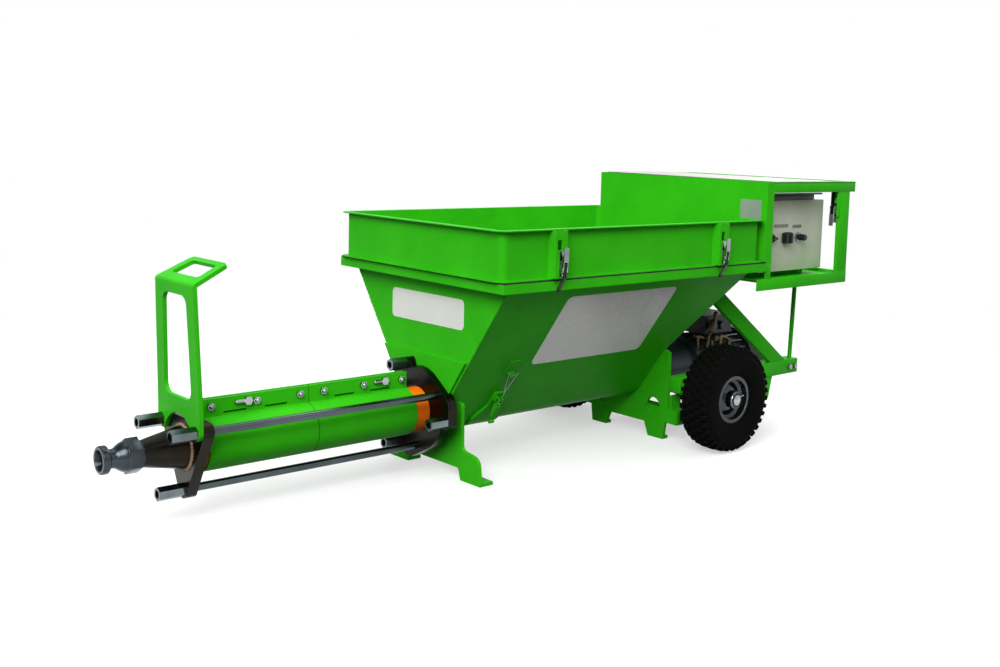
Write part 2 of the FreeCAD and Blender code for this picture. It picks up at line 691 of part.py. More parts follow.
def lifting_handle():
    # plate under the two upper tie nuts that leans forward and carries a bent grip loop
    thick = d.plateThick
    front = dischFront - thick
    lug_y, lug_z = around(d.tieRadius, d.tieAngle)
    lug = d.nutFlats * 0.7
    foot = plate("YZ_Plane", mirrored([
        (lug_y + lug, lug_z - lug * 0.9, lug), (lug_y + lug, d.leanStart)]), thick, front)
    round_cut = bar(ALONG_X, front - 1, 0, 0, d.tieRadius * 0.81, thick + 2)
    holes = [bar(ALONG_X, front - 1, side * lug_y, lug_z, d.rodHole, thick + 2)
             for side in (1, -1)]
    # the leaning part, drawn from the bend line on its rear face
    upright = plate("YZ_Plane", mirrored([
        (lug_y + lug, 0), (d.handleHalf, d.handleHigh)]), thick, -thick)
    window = plate("YZ_Plane", mirrored([
        (d.windowHalfLow, d.windowLow, d.windowCorner),
        (d.windowHalfTop, d.windowTop, d.windowCorner)]), thick + 2, -thick - 1)
    bend = common(bar(ALONG_Y, 0, -d.handleHalf, d.handleHigh, thick, 2 * d.handleHalf),
                  box(-thick, -d.handleHalf, d.handleHigh, thick, 2 * d.handleHalf, thick))
    grip = plate("XY_Plane", [
        (0, -d.handleHalf), (d.gripLong, -d.gripHalf, d.gripCorner),
        (d.gripLong, d.gripHalf, d.gripCorner), (0, d.handleHalf)], thick)
    hold = plate("XY_Plane", [
        (d.holdStart, -d.holdNear, thick), (d.holdEnd, -d.holdFar, thick),
        (d.holdEnd, d.holdFar, thick), (d.holdStart, d.holdNear, thick)], thick + 2, -1)
    loop = move(cut(grip, [hold]), 0, 0, d.handleHigh,
                FreeCAD.Rotation(FreeCAD.Vector(0, 1, 0), -d.gripTilt.number))
    lean = FreeCAD.Rotation(FreeCAD.Vector(0, 1, 0), -d.handleLean.number)
    upper = move(fuse([cut(upright, [window]), bend, loop]), dischFront, 0, d.leanStart, lean)
    node("lifting_handle", fuse([cut(foot, [round_cut] + holes), upper]), z=d.axisHeight)


def funnel(radius, front, rear, top):
    # the funnel's block: sides that touch the round trough, a rear wall that leans out
    half = radius * bendCosine
    low = d.axisHeight - radius * sine(d.funnelAngle)
    top_half = half + (top - low) * tangent(d.funnelAngle)
    lean = (d.mouthRear + d.rearWall) / (d.rimTop - d.rearKnee)
    inset = d.troughRadius - radius
    rear_top = rear + (top - d.rearKnee) * lean + inset * (root(1 + lean * lean) - 1)
    prism = doc.addObject("PartDesign::Body", "Sides")
    sketch = sketch_on(prism, "YZ_Plane", front)
    draw_outline(sketch, mirrored([(half, low), (top_half, top)]))
    pad(prism, sketch, d.rimRear + d.hopperFront)
    side = plate("XZ_Plane", [
        (front, low - 1), (rear, low - 1), (rear, d.rearKnee), (rear_top, top), (front, top)],
        4 * d.panelHalf, -2 * d.panelHalf)
    trough = bar(ALONG_X, front, 0, d.axisHeight, radius, rear - front)
    return fuse([common(prism, side), trough])


def hopper():
    # welded sheet funnel and round trough with a folded rim and a front overlay plate
    front = hopFront - d.rimFront
    over = d.rimTop + 1
    outer = funnel(d.troughRadius, hopFront, -d.rearWall, d.rimTop)
    inner = funnel(innerTrough, hopFront + d.sheet, -d.rearWall - d.sheet, over)
    rim = cut(box(front, -rimHalf, skirtLow, d.rimRear - front, 2 * rimHalf, d.skirtHeight),
              [box(front + d.sheet, -rimHalf + d.sheet, skirtLow - 1,
                   d.rimRear - front - 2 * d.sheet, 2 * (rimHalf - d.sheet),
                   d.skirtHeight - d.sheet + 1)])
    top_half = touchHalf + (d.overlayTop - touchHeight) * tangent(d.funnelAngle) - 2
    overlay = plate("YZ_Plane", mirrored([
        (touchHalf, touchHeight), (top_half - 8, d.overlayTop - 10), (top_half, d.overlayTop)]),
        d.overlayThick, hopFront - d.overlayThick)
    seat = move(lugged_flange(discFace, hopFront - discFace, d.socketGap), 0, 0, d.axisHeight)
    port = bar(ALONG_X, hopFront - 1, 0, d.axisHeight, d.suctionBore, d.sheet + 2)
    rear_port = bar(ALONG_X, -d.rearWall - 2 * d.sheet, 0, d.axisHeight, d.sealSpigot,
                    4 * d.sheet)
    hatch = box(-d.hatchFront + d.hatchRim, -d.troughRadius * 0.6, 0,
                d.hatchLong - 2 * d.hatchRim, d.troughRadius * 1.2, d.axisHeight - innerTrough / 2)
    node("hopper", cut(fuse([outer, rim, cut(overlay, [seat])]), [inner, port, rear_port, hatch]))


def hopper_box():
    # loose extension box with a gasket, folded lips and four latch posts
    front = boxFace
    gasket = cut(box(hopFront - d.rimFront + 1, -rimHalf + 1, d.rimTop,
                     d.rimRear - hopFront + d.rimFront - 2, 2 * rimHalf - 2, d.gasketThick),
                 [box(hopFront + d.sheet, -boxHalf + d.sheet, d.rimTop - 1,
                      d.boxRear - hopFront - 2 * d.sheet, 2 * (boxHalf - d.sheet),
                      d.gasketThick + 2)])
    node("rim_gasket", gasket)
    length = d.boxRear - front
    lips = []
    for z in (gasketTop, d.boxTop - d.boxLipThick):
        lips.append(rounded_slab(front - d.boxLip, d.boxRear + d.boxLip, boxHalf + d.boxLip, z,
                                 d.boxLipThick, d.boxCorner + d.boxLip))
    wall = rounded_slab(front, d.boxRear, boxHalf, gasketTop, d.boxTop - gasketTop, d.boxCorner)
    inside = rounded_slab(front + d.sheet, d.boxRear - d.sheet, boxHalf - d.sheet, gasketTop - 1,
                          d.boxTop - gasketTop + 2, d.boxCorner - d.sheet)
    posts = []
    for start in (-d.postFront, -d.postBack):
        for side in (1, -1):
            posts.append(latch_post(start, side))
    node("hopper_extension", cut(fuse(lips + [wall] + posts), [inside]))


def rounded_slab(front, rear, half, z, thick, corner):
    return plate("XY_Plane", [(front, -half, corner), (rear, -half, corner),
                              (rear, half, corner), (front, half, corner)], thick, z)


def latch_post(start, side):
    # folded channel on the long wall that carries a draw latch
    depth = d.postOut - boxHalf
    near = boxHalf if side > 0 else -d.postOut
    high = d.boxTop - d.boxLipThick - boxLow
    outer = box(start, near, boxLow, d.postWide, depth, high)
    hollow_near = boxHalf if side > 0 else -d.postOut + d.sheet
    hollow = box(start + d.sheet, hollow_near, boxLow - 1, d.postWide - 2 * d.sheet,
                 depth - d.sheet, high + 2)
    slot_x = start + d.postWide / 2 - d.postSlot / 2 - 5
    slot = box(slot_x, side * d.postOut - d.postSlot / 2, d.postSlotTop - d.postSlotHeight,
               d.postSlot, d.postSlot, d.postSlotHeight)
    return cut(outer, [hollow, slot])


def hatch_frame(side):
    # placement of the sloping funnel side: local z runs up the slope, local -y or +y outwards
    turn = FreeCAD.Rotation(FreeCAD.Vector(1, 0, 0), side * d.funnelAngle.number)
    return -side * touchHalf, touchHeight, turn


def hatch_middle():
    return -d.hatchFront + d.hatchLong / 2


def hatch_cover():
    # saddle under the trough, hooked on the far side and latched on the near side
    front = -d.hatchFront
    middle = hatch_middle()
    outer = d.troughRadius + d.hatchWall
    far = 3 * outer
    above = plate("YZ_Plane", [
        (0, 0), (far * bendCosine, -far * sine(d.funnelAngle)), (far, far), (-far, far),
        (-far * bendCosine, -far * sine(d.funnelAngle))], d.hatchLong + 2, front - 1)
    ring = cut(bar(ALONG_X, front, 0, d.axisHeight, outer, d.hatchLong),
               [bar(ALONG_X, front - 1, 0, d.axisHeight, d.troughRadius, d.hatchLong + 2),
                move(above, 0, 0, d.axisHeight)])
    y, z, turn = hatch_frame(1)
    ear_half = d.catchWide / 2 - 2
    near = plate("XZ_Plane", [
        (front, 0), (front + d.hatchLong, 0), (middle + ear_half, d.hatchEar / 2),
        (middle + ear_half, d.hatchEar, d.hatchWall), (middle - ear_half, d.hatchEar, d.hatchWall),
        (middle - ear_half, d.hatchEar / 2)], d.hatchWall)
    move(near, 0, y, z, turn)
    cheeks = []
    for offset in (-ear_half, ear_half - d.hatchWall / 2):
        cheek = plate("YZ_Plane", [
            (0, d.hatchPivot - 12), (0, d.hatchEar), (-d.hatchPivotOut - 5, d.hatchEar, d.hatchRim / 2),
            (-d.hatchPivotOut - 5, d.hatchPivot - 5, d.hatchRim / 2)], d.hatchWall / 2,
            middle + offset)
        cheeks.append(move(cheek, 0, y, z, turn))
    pin = bar(ALONG_X, 0, 0, 0, d.latchPin, 2 * ear_half)
    pin_y = -d.hatchPivotOut
    place_on_slope(pin, middle - ear_half, pin_y, d.hatchPivot)
    far_y, far_z, far_turn = hatch_frame(-1)
    tongue = plate("XZ_Plane", [
        (front, 0), (front + d.hatchLong, 0), (front + d.hatchLong - 15, 22), (front + 15, 22)],
        d.hatchWall, -d.hatchWall)
    move(tongue, 0, far_y, far_z, far_turn)
    node("hatch_cover", fuse([ring, near, tongue, pin] + cheeks))


def place_on_slope(target, x, out, up):
    # sets a bar along X at a place given in the near slope's own directions
    y = -touchHalf + out * bendCosine - up * sine(d.funnelAngle)
    z = touchHeight + out * sine(d.funnelAngle) + up * bendCosine
    return move(target, x, y, z, ALONG_X)


def hatch_catch():
    # bracket on the near funnel side that the bail hooks over
    middle = hatch_middle()
    y, z, turn = hatch_frame(1)
    half = d.catchWide / 2
    shelf_top = d.bailTop - d.latchPin - d.socketGap
    back = plate("XZ_Plane", [
        (middle - half, shelf_top - d.sheet), (middle + half, shelf_top - d.sheet),
        (middle + half, d.catchTop), (middle - half, d.catchTop)], d.sheet)
    tongue = d.bailHalf - 5
    shelf = box(middle - tongue, -d.catchShelf - d.sheet, shelf_top - d.sheet, 2 * tongue,
                d.catchShelf + d.sheet, d.sheet)
    node("hatch_catch", fuse([back, shelf]), 0, y, z, turn)


def hatch_lever():
    # over-centre lever between the cover's ears, with two cheeks and a curled tip
    middle = hatch_middle()
    y, z, turn = hatch_frame(1)
    reach = d.hatchPivot - 52
    start = d.hatchPivot - d.bailPivot - 4
    web_out = d.hatchPivotOut + d.bailPivotOut + 4
    pieces = [box(middle - 6.5, -web_out - 2, reach - 14, 13, 2,
                  start - reach + 14)]
    for offset in (-6.5, 3.5):
        cheek = plate("YZ_Plane", [
            (-d.hatchPivotOut + 4, d.hatchPivot + 4, d.latchPin * 2),
            (-web_out, d.hatchPivot, d.latchPin), (-web_out, reach),
            (-web_out + 3, reach), (-d.hatchPivotOut + 4, d.hatchPivot - 8)],
            3, middle + offset,
            [(-d.hatchPivotOut, d.hatchPivot, d.latchPin + d.runningGap)])
        pieces.append(cheek)
    pieces.append(bar(ALONG_X, middle - 6.5, -d.hatchPivotOut - d.bailPivotOut,
                      d.hatchPivot - d.bailPivot, d.strapPin, 13))
    pieces.append(bar(ALONG_X, middle - 6.5, -web_out - 4, reach - 13, 4,
                      13))
    node("hatch_lever", fuse(pieces), 0, y, z, turn)


def hatch_bail():
    # bent wire from the lever to the catch
    middle = hatch_middle().number
    out = -(d.hatchPivotOut + d.bailPivotOut).number
    low = (d.hatchPivot - d.bailPivot).number
    top = d.bailTop.number
    half = d.bailHalf.number
    top_out = -d.hatchPivotOut.number
    apex_up = low + 32

    def out_at(up):
        return out + (top_out - out) * (up - low) / (top - low)

    foot = FreeCAD.Vector(middle, out, low)
    apex = FreeCAD.Vector(middle, out_at(apex_up), apex_up)
    left = FreeCAD.Vector(middle - half, top_out, top)
    right = FreeCAD.Vector(middle + half, top_out, top)
    radius = d.bailWire.number
    wire = wire_rods([(foot, apex), (apex, left), (left, right), (right, apex)], radius)
    eye = Part.makeCylinder(3.4, 6.2, FreeCAD.Vector(middle - 3.1, out, low),
                            FreeCAD.Vector(1, 0, 0))
    hole = Part.makeCylinder(d.strapPin.number + d.runningGap.number, 8,
                             FreeCAD.Vector(middle - 4, out, low), FreeCAD.Vector(1, 0, 0))
    made = doc.addObject("Part::Feature", "Bail")
    made.Shape = eye.fuse(wire).cut(hole)
    y, z, turn = hatch_frame(1)
    node("hatch_bail", made, 0, y, z, turn)


def wire_rods(spans, radius):
    pieces = []
    for start, end in spans:
        along = end - start
        pieces.append(Part.makeCylinder(radius, along.Length, start, along))
        pieces.append(Part.makeSphere(radius, end))
    return pieces[0].fuse(pieces[1:])


def supports():
    # feet under the trough: plates cut out for the funnel's section, pads bent rearwards
    hollow = funnel(d.troughRadius, -d.frontFoot - 5, -d.rearWall + 5, d.rimTop)
    front = plate("YZ_Plane", mirrored([
        (d.footIn - d.plateThick, d.footEdge, d.plateThick), (d.footIn, 0, d.plateThick / 2),
        (d.footOut, 0), (d.footOut, d.plateThick), (d.footOut - 4, d.footEdge),
        (d.shoulderOut, d.shoulderUp, d.shoulderRound), (d.frontHalf + 2, d.neckUp, d.neckRound),
        (d.frontHalf, d.frontTop, d.plateThick)]),
        d.plateThick, -d.frontFoot)
    pads = [box(-d.frontFoot, y, 0, d.footDeep, d.footOut - d.footIn, d.plateThick)
            for y in (d.footIn, -d.footOut)]
    node("front_support", cut(fuse([front] + pads), [hollow]))
    rear_face = -d.rearWall - d.plateThick
    rear = plate("YZ_Plane", mirrored([
        (62, 35), (d.rearFootIn, 0),
        (d.rearFootOut, 0), (d.rearFootOut + 6, d.armLow), (d.armOut, d.armLow),
        (d.armOut, d.armHigh), (d.rearHalf, d.armHigh), (d.rearHalf, d.rearTop - 6),
        (d.rearHalf - 10, d.rearTop)]), d.plateThick, rear_face,
        [(side * d.rearHoleOut, d.rearHoleUp, d.rearHole) for side in (1, -1)])
    rear_pads = [box(rear_face, y, 0, d.rearFootDeep, d.rearFootOut - d.rearFootIn, d.plateThick)
                 for y in (d.rearFootIn, -d.rearFootOut)]
    hollow_too = funnel(d.troughRadius, -d.frontFoot - 5, -d.rearWall + 5, d.rimTop)
    node("rear_support", cut(fuse([rear] + rear_pads), [hollow_too]))


def square_tube(x, y, z, long, wide, high, wall):
    return cut(box(x, y, z, long, wide, high),
               [box(x - 1, y + wall, z + wall, long + 2, wide - 2 * wall, high - 2 * wall)])


def chassis():
    # side rails behind the rear support, each with a brace to the hopper and a hanger
    high = d.railHigh - d.railLow
    length = d.railRear + d.rearWall
    for label, side in (("chassis_side_left", -1), ("chassis_side_right", 1)):
        y = -d.railOut if side < 0 else d.railOut - d.railWide
        rail = square_tube(-d.rearWall, y, d.railLow, length, d.railWide, high, d.railWall)
        foot_z = d.railHigh
        rear_top_x = d.braceRear
        lean = (d.mouthRear + d.rearWall) / (d.rimTop - d.rearKnee)
        top_x = -d.rearWall + (d.braceTop - d.rearKnee) * lean
        low_z = d.braceTop - d.braceDeep * 1.3
        low_x = -d.rearWall + (low_z - d.rearKnee) * lean
        brace = plate("XZ_Plane", [
            (top_x, d.braceTop), (low_x, low_z), (rear_top_x - d.braceDeep * 1.6, foot_z),
            (rear_top_x + 8, foot_z)], d.braceWide, -y - d.braceWide)
        hollow = plate("XZ_Plane", [
            (top_x + 3, d.braceTop - 12), (low_x + 3, low_z + 4),
            (rear_top_x - d.braceDeep * 1.6 + 8, foot_z + d.railWall),
            (rear_top_x - 12, foot_z + d.railWall)], d.braceWide - 2 * d.railWall,
            -y - d.braceWide + d.railWall)
        hanger_y = y + d.railWall
        hanger = plate("XZ_Plane", [
            (d.hangerFront, d.railLow), (d.hangerBack, d.railLow),
            (d.hangerBack - 14, d.hangerLow, d.railWall * 3),
            (d.hangerFront + 4, d.hangerLow, d.railWall * 3)], d.railWall, -hanger_y)
        bore = bar(ALONG_Y, 0, y - 1, d.wheelHeight, d.axleRadius, d.railWide + 2)
        node(label, cut(fuse([rail, cut(brace, [hollow]), hanger]), [bore]))
    cross = d.armHigh - d.armLow
    tube = cut(box(-d.rearWall, -d.armOut, d.armLow, cross, 2 * d.armOut, cross),
               [box(-d.rearWall + d.railWall, -d.armOut - 1, d.armLow + d.railWall,
                    cross - 2 * d.railWall, 2 * d.armOut + 2, cross - 2 * d.railWall)])
    links = [box(-d.rearWall, y, d.armHigh, cross, d.railWall * 2, d.railLow - d.armHigh)
             for y in (d.rearHalf, -d.rearHalf - 2 * d.railWall)]
    node("cross_member", fuse([tube] + links))


def wheels():
    # pneumatic tyre on a pressed rim, bushed hub and stub axle on each side
    half = d.tyreWide / 2
    tread = d.treadWide / 2
    wall = d.tyreWide / 10
    mid = (d.tyreRadius + d.beadRadius) / 2
    rim_half = d.rimWide / 2
    tyre_outer = [
        (rim_half - 3, d.beadRadius), (rim_half - 3, d.rimFlange + d.hubPlay),
        (rim_half + 1, d.rimFlange + d.hubPlay), (half - 3, d.beadRadius + 14), (half, mid),
        (half - 2, d.tyreRadius - 20), (tread + 2, d.tyreRadius - 4), (tread - 3, d.tyreRadius)]
    tyre_inner = [
        (rim_half - 4 - wall, d.beadRadius), (half - wall, mid - 4),
        (half - wall - 2, d.tyreRadius - 24), (tread - wall, d.tyreRadius - 14)]
    tyre_profile = tyre_outer + [(-u, v) for u, v in reversed(tyre_outer)]
    tyre_profile += [(-u, v) for u, v in tyre_inner] + [(u, v) for u, v in reversed(tyre_inner)]
    bead = d.beadRadius - d.sheet
    rim_profile = [
        (-rim_half, d.rimFlange), (-rim_half + 3, d.rimFlange), (-rim_half + 3, d.beadRadius),
        (rim_half - 3, d.beadRadius), (rim_half - 3, d.rimFlange), (rim_half, d.rimFlange),
        (rim_half, bead), (rim_half * 0.43, bead), (rim_half * 0.3, bead - 8),
        (rim_half * 0.53, d.hubRadius + 7), (rim_half * 0.6, d.hubRadius),
        (d.hubOuter, d.hubRadius), (d.hubOuter, d.hubRadius - d.hubWall),
        (-d.hubInner, d.hubRadius - d.hubWall), (-d.hubInner, d.hubRadius),
        (rim_half * 0.47, d.hubRadius), (rim_half * 0.4, d.hubRadius + 7),
        (rim_half * 0.17, bead - 8), (rim_half * 0.3, bead), (-rim_half, bead)]
    bush = d.axleRadius + d.runningGap
    bush_profile = [
        (-d.hubInner, bush), (-d.hubInner, d.hubRadius - d.hubWall),
        (d.hubOuter, d.hubRadius - d.hubWall), (d.hubOuter, bush)]
    collar = -d.hubInner - d.hubPlay
    cap = d.hubOuter + d.hubPlay
    stub_start = d.railOut - d.railWide - 5 - d.wheelOut
    stub_profile = [
        (stub_start, 0), (stub_start, d.axleRadius), (collar - 5, d.axleRadius),
        (collar - 5, d.axleCollar), (collar, d.axleCollar), (collar, d.axleRadius),
        (cap, d.axleRadius), (cap, d.axleCollar - 1), (cap + 3.5, d.axleCollar - 1),
        (cap + 3.5, 0)]
    stubs = []
    for name, side in (("left", -1), ("right", 1)):
        turn = FreeCAD.Rotation(FreeCAD.Vector(0, 0, 1), 90 * side)
        y = side * d.wheelOut
        node("tyre_" + name, turned(tyre_profile), 0, y, d.wheelHeight, turn)
        node("rim_" + name, turned(rim_profile), 0, y, d.wheelHeight, turn)
        node("hub_bearing_" + name, turned(bush_profile), 0, y, d.wheelHeight, turn)
        stubs.append(move(turned(stub_profile), 0, y, d.wheelHeight, turn))
    node("axle", group(stubs))


def agitator():
    # drive shaft through the trough with angled paddles and a socket for the coupling rod
    pivot = d.rodLength - d.frontPivot
    axis = FreeCAD.Vector(1, 0, 0)
    cup_front = pivot.number - d.cupLength.number / 2
    start = cup_front + d.cupLength.number
    end = gearFront.number + d.gearLong.number / 2
    pieces = [Part.makeCylinder(d.shaftRadius.number, end - start + 1,
                                FreeCAD.Vector(start - 1, 0, 0), axis)]
    step = d.paddleStep.number
    count = int((-d.rearWall.number - d.sheet.number - start) / step)
    for index in range(count):
        x = start + step * (index + 0.5)
        blade = Part.makeBox(d.paddleThick.number, d.paddleWidth.number, d.paddleReach.number,
                             FreeCAD.Vector(-d.paddleThick.number / 2,
                                            -d.paddleWidth.number / 2, 0))
        blade = blade.common(Part.makeCylinder(d.paddleWidth.number * 0.6, d.paddleReach.number))
        blade.rotate(FreeCAD.Vector(0, 0, 0), FreeCAD.Vector(0, 0, 1), d.paddleTilt.number)
        blade.translate(FreeCAD.Vector(x, 0, 0))
        blade.rotate(FreeCAD.Vector(x, 0, 0), axis, 90 * index)
        pieces.append(blade)
    solid = ball_cup(cup_front, pivot.number, -1).fuse(pieces)
    limit = Part.makeCylinder(innerTrough.number - 2, 2000, FreeCAD.Vector(-1000, 0, 0), axis)
    made = doc.addObject("Part::Feature", "Agitator")
    made.Shape = solid.common(limit).removeSplitter()
    node("agitator_shaft", made, z=d.axisHeight)


def gear_motor():
    # seal flange and lantern, gearbox, finned motor, fan and cowl on the pump's own axis
    wall = -d.rearWall
    spigot = wall - d.sheet
    bore = d.shaftRadius + d.runningGap
    node("seal_housing", turned([
        (spigot, bore), (spigot, d.sealSpigot), (wall, d.sealSpigot), (wall, d.sealFlange),
        (wall + d.sealThick, d.sealFlange), (wall + d.sealThick, d.lanternRadius),
        (gearFront, d.lanternRadius), (gearFront, bore)]), z=d.axisHeight)
    half = gearFront + d.gearLong / 2
    slope = d.gearLong / 8
    node("gearbox", turned([
        (gearFront, bore), (gearFront, d.gearRadius * 0.8), (gearFront + slope, d.gearRadius * 0.86),
        (gearFront + 2 * slope, d.gearRadius), (gearBack - slope, d.gearRadius),
        (gearBack - slope / 2, d.gearRadius * 0.9), (gearBack, d.gearRadius * 0.9),
        (gearBack, d.gearFlange), (motorFront, d.gearFlange), (motorFront, 0), (half + 5, 0),
        (half + 5, bore)]), z=d.axisHeight)
    body = turned([(motorFront, 0), (motorFront, d.motorRadius), (motorBack, d.motorRadius),
                   (motorBack, 0)])
    fins = sketch_on(body, "YZ_Plane", motorFront + d.finHeight)
    draw_outline(fins, [(-d.finThick / 2, d.motorRadius - 3), (d.finThick / 2, d.motorRadius - 3),
                        (d.finThick / 2, d.motorRadius + d.finHeight),
                        (-d.finThick / 2, d.motorRadius + d.finHeight)])
    polar(body, [pad(body, fins, d.motorLong - 2 * d.finHeight)], "X_Axis",
          int(d.finCount.number))
    stub = bar(ALONG_X, motorBack, 0, 0, d.motorShaft, d.cowlLong * 0.65)
    node("motor", fuse([body, stub]), z=d.axisHeight)
    rim = d.cowlRadius - d.cowlWall
    shell = turned([
        (motorBack, d.motorRadius), (motorBack, d.cowlRadius),
        (cowlBack - d.cowlCorner, d.cowlRadius), (cowlBack, d.cowlRadius - d.cowlCorner),
        (cowlBack, 0), (cowlBack - d.cowlWall, 0),
        (cowlBack - d.cowlWall, d.cowlRadius - d.cowlCorner - 1),
        (cowlBack - d.cowlCorner - 1, rim),
        (motorBack + d.cowlWall, rim), (motorBack + d.cowlWall, d.motorRadius)])
    slots = []
    for row in range(-4, 5):
        level = row * d.cowlPitch
        width = 2 * root(0.64 * d.cowlRadius * d.cowlRadius - level * level)
        slots.append(box(cowlBack - 2 * d.cowlWall, -width / 2, level - d.cowlSlot / 2,
                         4 * d.cowlWall, width, d.cowlSlot))
    node("fan_cowl", cut(shell, slots), z=d.axisHeight)
    fan_x = motorBack + d.fanStart
    hub = turned([(fan_x, d.motorShaft + d.runningGap), (fan_x, 2 * d.motorShaft),
                  (fan_x + d.fanLong, 2 * d.motorShaft),
                  (fan_x + d.fanLong, d.motorShaft + d.runningGap)])
    blades = sketch_on(hub, "YZ_Plane", fan_x)
    draw_outline(blades, [(-2, 1.8 * d.motorShaft), (2, 1.8 * d.motorShaft), (2, d.fanRadius),
                          (-2, d.fanRadius)])
    polar(hub, [pad(hub, blades, d.fanLong)], "X_Axis", int(d.fanBlades.number))
    node("motor_fan", hub, z=d.axisHeight)
    top = d.motorRadius + d.finHeight
    start = motorFront + (d.motorLong - d.terminalLong) / 2
    case = box(start, -d.terminalWide / 2, top, d.terminalLong, d.terminalWide,
               d.terminalHigh)
    lid = box(start - 3, -d.terminalWide / 2 - 3, top + d.terminalHigh - 8, d.terminalLong + 6,
              d.terminalWide + 6, 8)
    glands = [hexagon(ALONG_Y, start + d.glandFirst + d.glandStep * step,
                      -d.terminalWide / 2 - d.glandLong, top + d.glandUp, d.glandFlats,
                      d.glandLong) for step in range(2)]
    node("terminal_box", fuse([case, lid] + glands), z=d.axisHeight)


def drive_frame():
    # sheet frame behind the hopper: front panel, top beams, rear posts and tray
    sheet_wall = d.frameSheet
    half = d.panelHalf
    front = d.rimRear
    panel_top = d.machineTop - d.coverThick
    panel = plate("YZ_Plane", mirrored([
        (half, d.panelLow, d.beamHigh / 2), (half, panel_top)]), sheet_wall, front)
    sides = [box(front, y, d.panelLow + d.beamHigh / 2, d.panelFlange, sheet_wall,
                 panel_top - d.panelLow - d.beamHigh / 2) for y in (-half, half - sheet_wall)]
    node("front_panel", fuse([panel] + sides))
    inner = front + d.panelFlange
    pieces = []
    tray_long = d.trayRear - d.trayFront
    tray_high = d.trayHigh - d.trayLow
    tray_front = front + sheet_wall
    for y, skin in ((-half, -half), (half - d.rearPostDeep, half - sheet_wall)):
        pieces.append(box(inner, y, panel_top - sheet_wall, d.beamRear - inner, d.rearPostDeep,
                          sheet_wall))
        pieces.append(box(inner, skin, beamLow, d.beamRear - inner, sheet_wall, d.beamHigh))
        pieces.append(square_post(d.rearPostFront, y, d.trayLow, beamLow))
        pieces.append(plate("XZ_Plane", [
            (d.trayFront, d.trayLow, tray_high / 2.5), (d.trayRear, d.trayLow),
            (d.trayRear, d.trayHigh), (d.trayFront, d.trayHigh, tray_high / 2.5)], sheet_wall,
            -skin - sheet_wall))
        pieces.append(box(tray_front, skin, d.trayHigh - 1, d.panelFlange - sheet_wall,
                          sheet_wall, d.panelLow + d.beamHigh / 2 - d.trayHigh + 1))
    pieces.append(box(tray_front, -half, d.trayLow, d.trayRear - tray_front, 2 * half, sheet_wall))
    pieces.append(box(d.beamRear - sheet_wall, -half, beamLow, sheet_wall, 2 * half, d.beamHigh))
    pieces.append(box(d.trayRear - sheet_wall, -half, d.trayLow, sheet_wall, 2 * half, tray_high))
    node("control_frame", fuse(pieces))
    node("top_cover", box(0, 0, 0, d.coverRear - inner, 2 * half, d.coverThick), inner, -half,
         panel_top)


def square_post(x, y, low, high):
    # post of folded sheet, closed on its four sides
    outer = box(x, y, low, d.rearPostWide, d.rearPostDeep, high - low)
    hollow = box(x + d.frameSheet, y + d.frameSheet, low + d.frameSheet,
                 d.rearPostWide - 2 * d.frameSheet, d.rearPostDeep - 2 * d.frameSheet,
                 high - low - 2 * d.frameSheet)
    return cut(outer, [hollow])


def cabinet():
    # switch cabinet on the tray with a screwed door that carries the controls
    low = d.trayLow + d.frameSheet
    long = d.cabinetRear - d.cabinetFront
    near = -d.cabinetNear + d.doorThick
    wide = d.cabinetFar - near
    wall = d.cabinetWall
    case = cut(box(d.cabinetFront, near, low, long, wide, d.cabinetTop - low),
               [box(d.cabinetFront + wall, near - 1, low + wall, long - 2 * wall, wide - wall + 1,
                    d.cabinetTop - low - 2 * wall)])
    node("cabinet", case)
    knobs = control_places()
    door = plate("XZ_Plane", [
        (d.cabinetFront, low, d.doorThick), (d.cabinetRear, low, d.doorThick),
        (d.cabinetRear, d.cabinetTop, d.doorThick), (d.cabinetFront, d.cabinetTop, d.doorThick)],
        d.doorThick, d.cabinetNear - d.doorThick,
        [(x, d.knobHeight, radius + d.runningGap) for x, radius, _, _, _ in knobs.values()])
    node("cabinet_door", door)
    for label, (x, shaft, knob, long_knob, grip) in knobs.items():
        back = d.doorThick + 8
        dial = turned([(-back, 0), (-back, shaft), (d.knobGap, shaft), (d.knobGap, knob),
                       (long_knob * 0.4, knob), (long_knob * 0.4, knob * 0.55),
                       (long_knob, knob * 0.5), (long_knob, 0)])
        bar_grip = box(0, -knob * 0.9, -grip / 2, long_knob, knob * 1.8, grip)
        turn = FreeCAD.Rotation(FreeCAD.Vector(0, 0, 1), -90)
        node(label, fuse([dial, move(bar_grip, d.knobGap, -knob * 0.9, -grip / 2)]), x,
             -d.cabinetNear, d.knobHeight, turn)


def control_places():
    # station along X, shaft radius, knob radius, knob length and grip width of each control
    first = d.cabinetFront + d.knobStart
    unit = d.doorThick / 3
    return {"selector_switch": (first, 5 * unit, 11 * unit, 14 * unit, 6 * unit),
            "main_switch": (first + d.knobStep, 6 * unit, 18 * unit, 21 * unit, 10 * unit),
            "speed_knob": (first + 2 * d.knobStep, 5 * unit, 15 * unit, 24 * unit, 8 * unit)}


def stay_rods():
    # round stays between the rail ends and the tray
    low = d.railHigh
    rods = [bar(UPRIGHT, d.stayX, side * d.stayOut, low, d.stayRadius, d.trayLow - low)
            for side in (1, -1)]
    node("stay_rods", group(rods))


def frame_bolts():
    # hexagon screws at the rail ends, the rear support and the seal flange
    bolts = []
    for side in (1, -1):
        for step in (0, 1):
            x = d.railRear - 14 - 24 * step
            y = side * d.railOut if side > 0 else -d.railOut - 6
            bolts.append(hexagon(ALONG_Y, x, y, d.railHigh - 20, 13,
                                 6))
    for step in range(6):
        y, z = around(d.sealFlange - 7, 60 * step + 30)
        bolts.append(hexagon(ALONG_X, -d.rearWall + d.sealThick, y, z + d.axisHeight,
                             10, 6))
    node("frame_bolts", group(bolts))


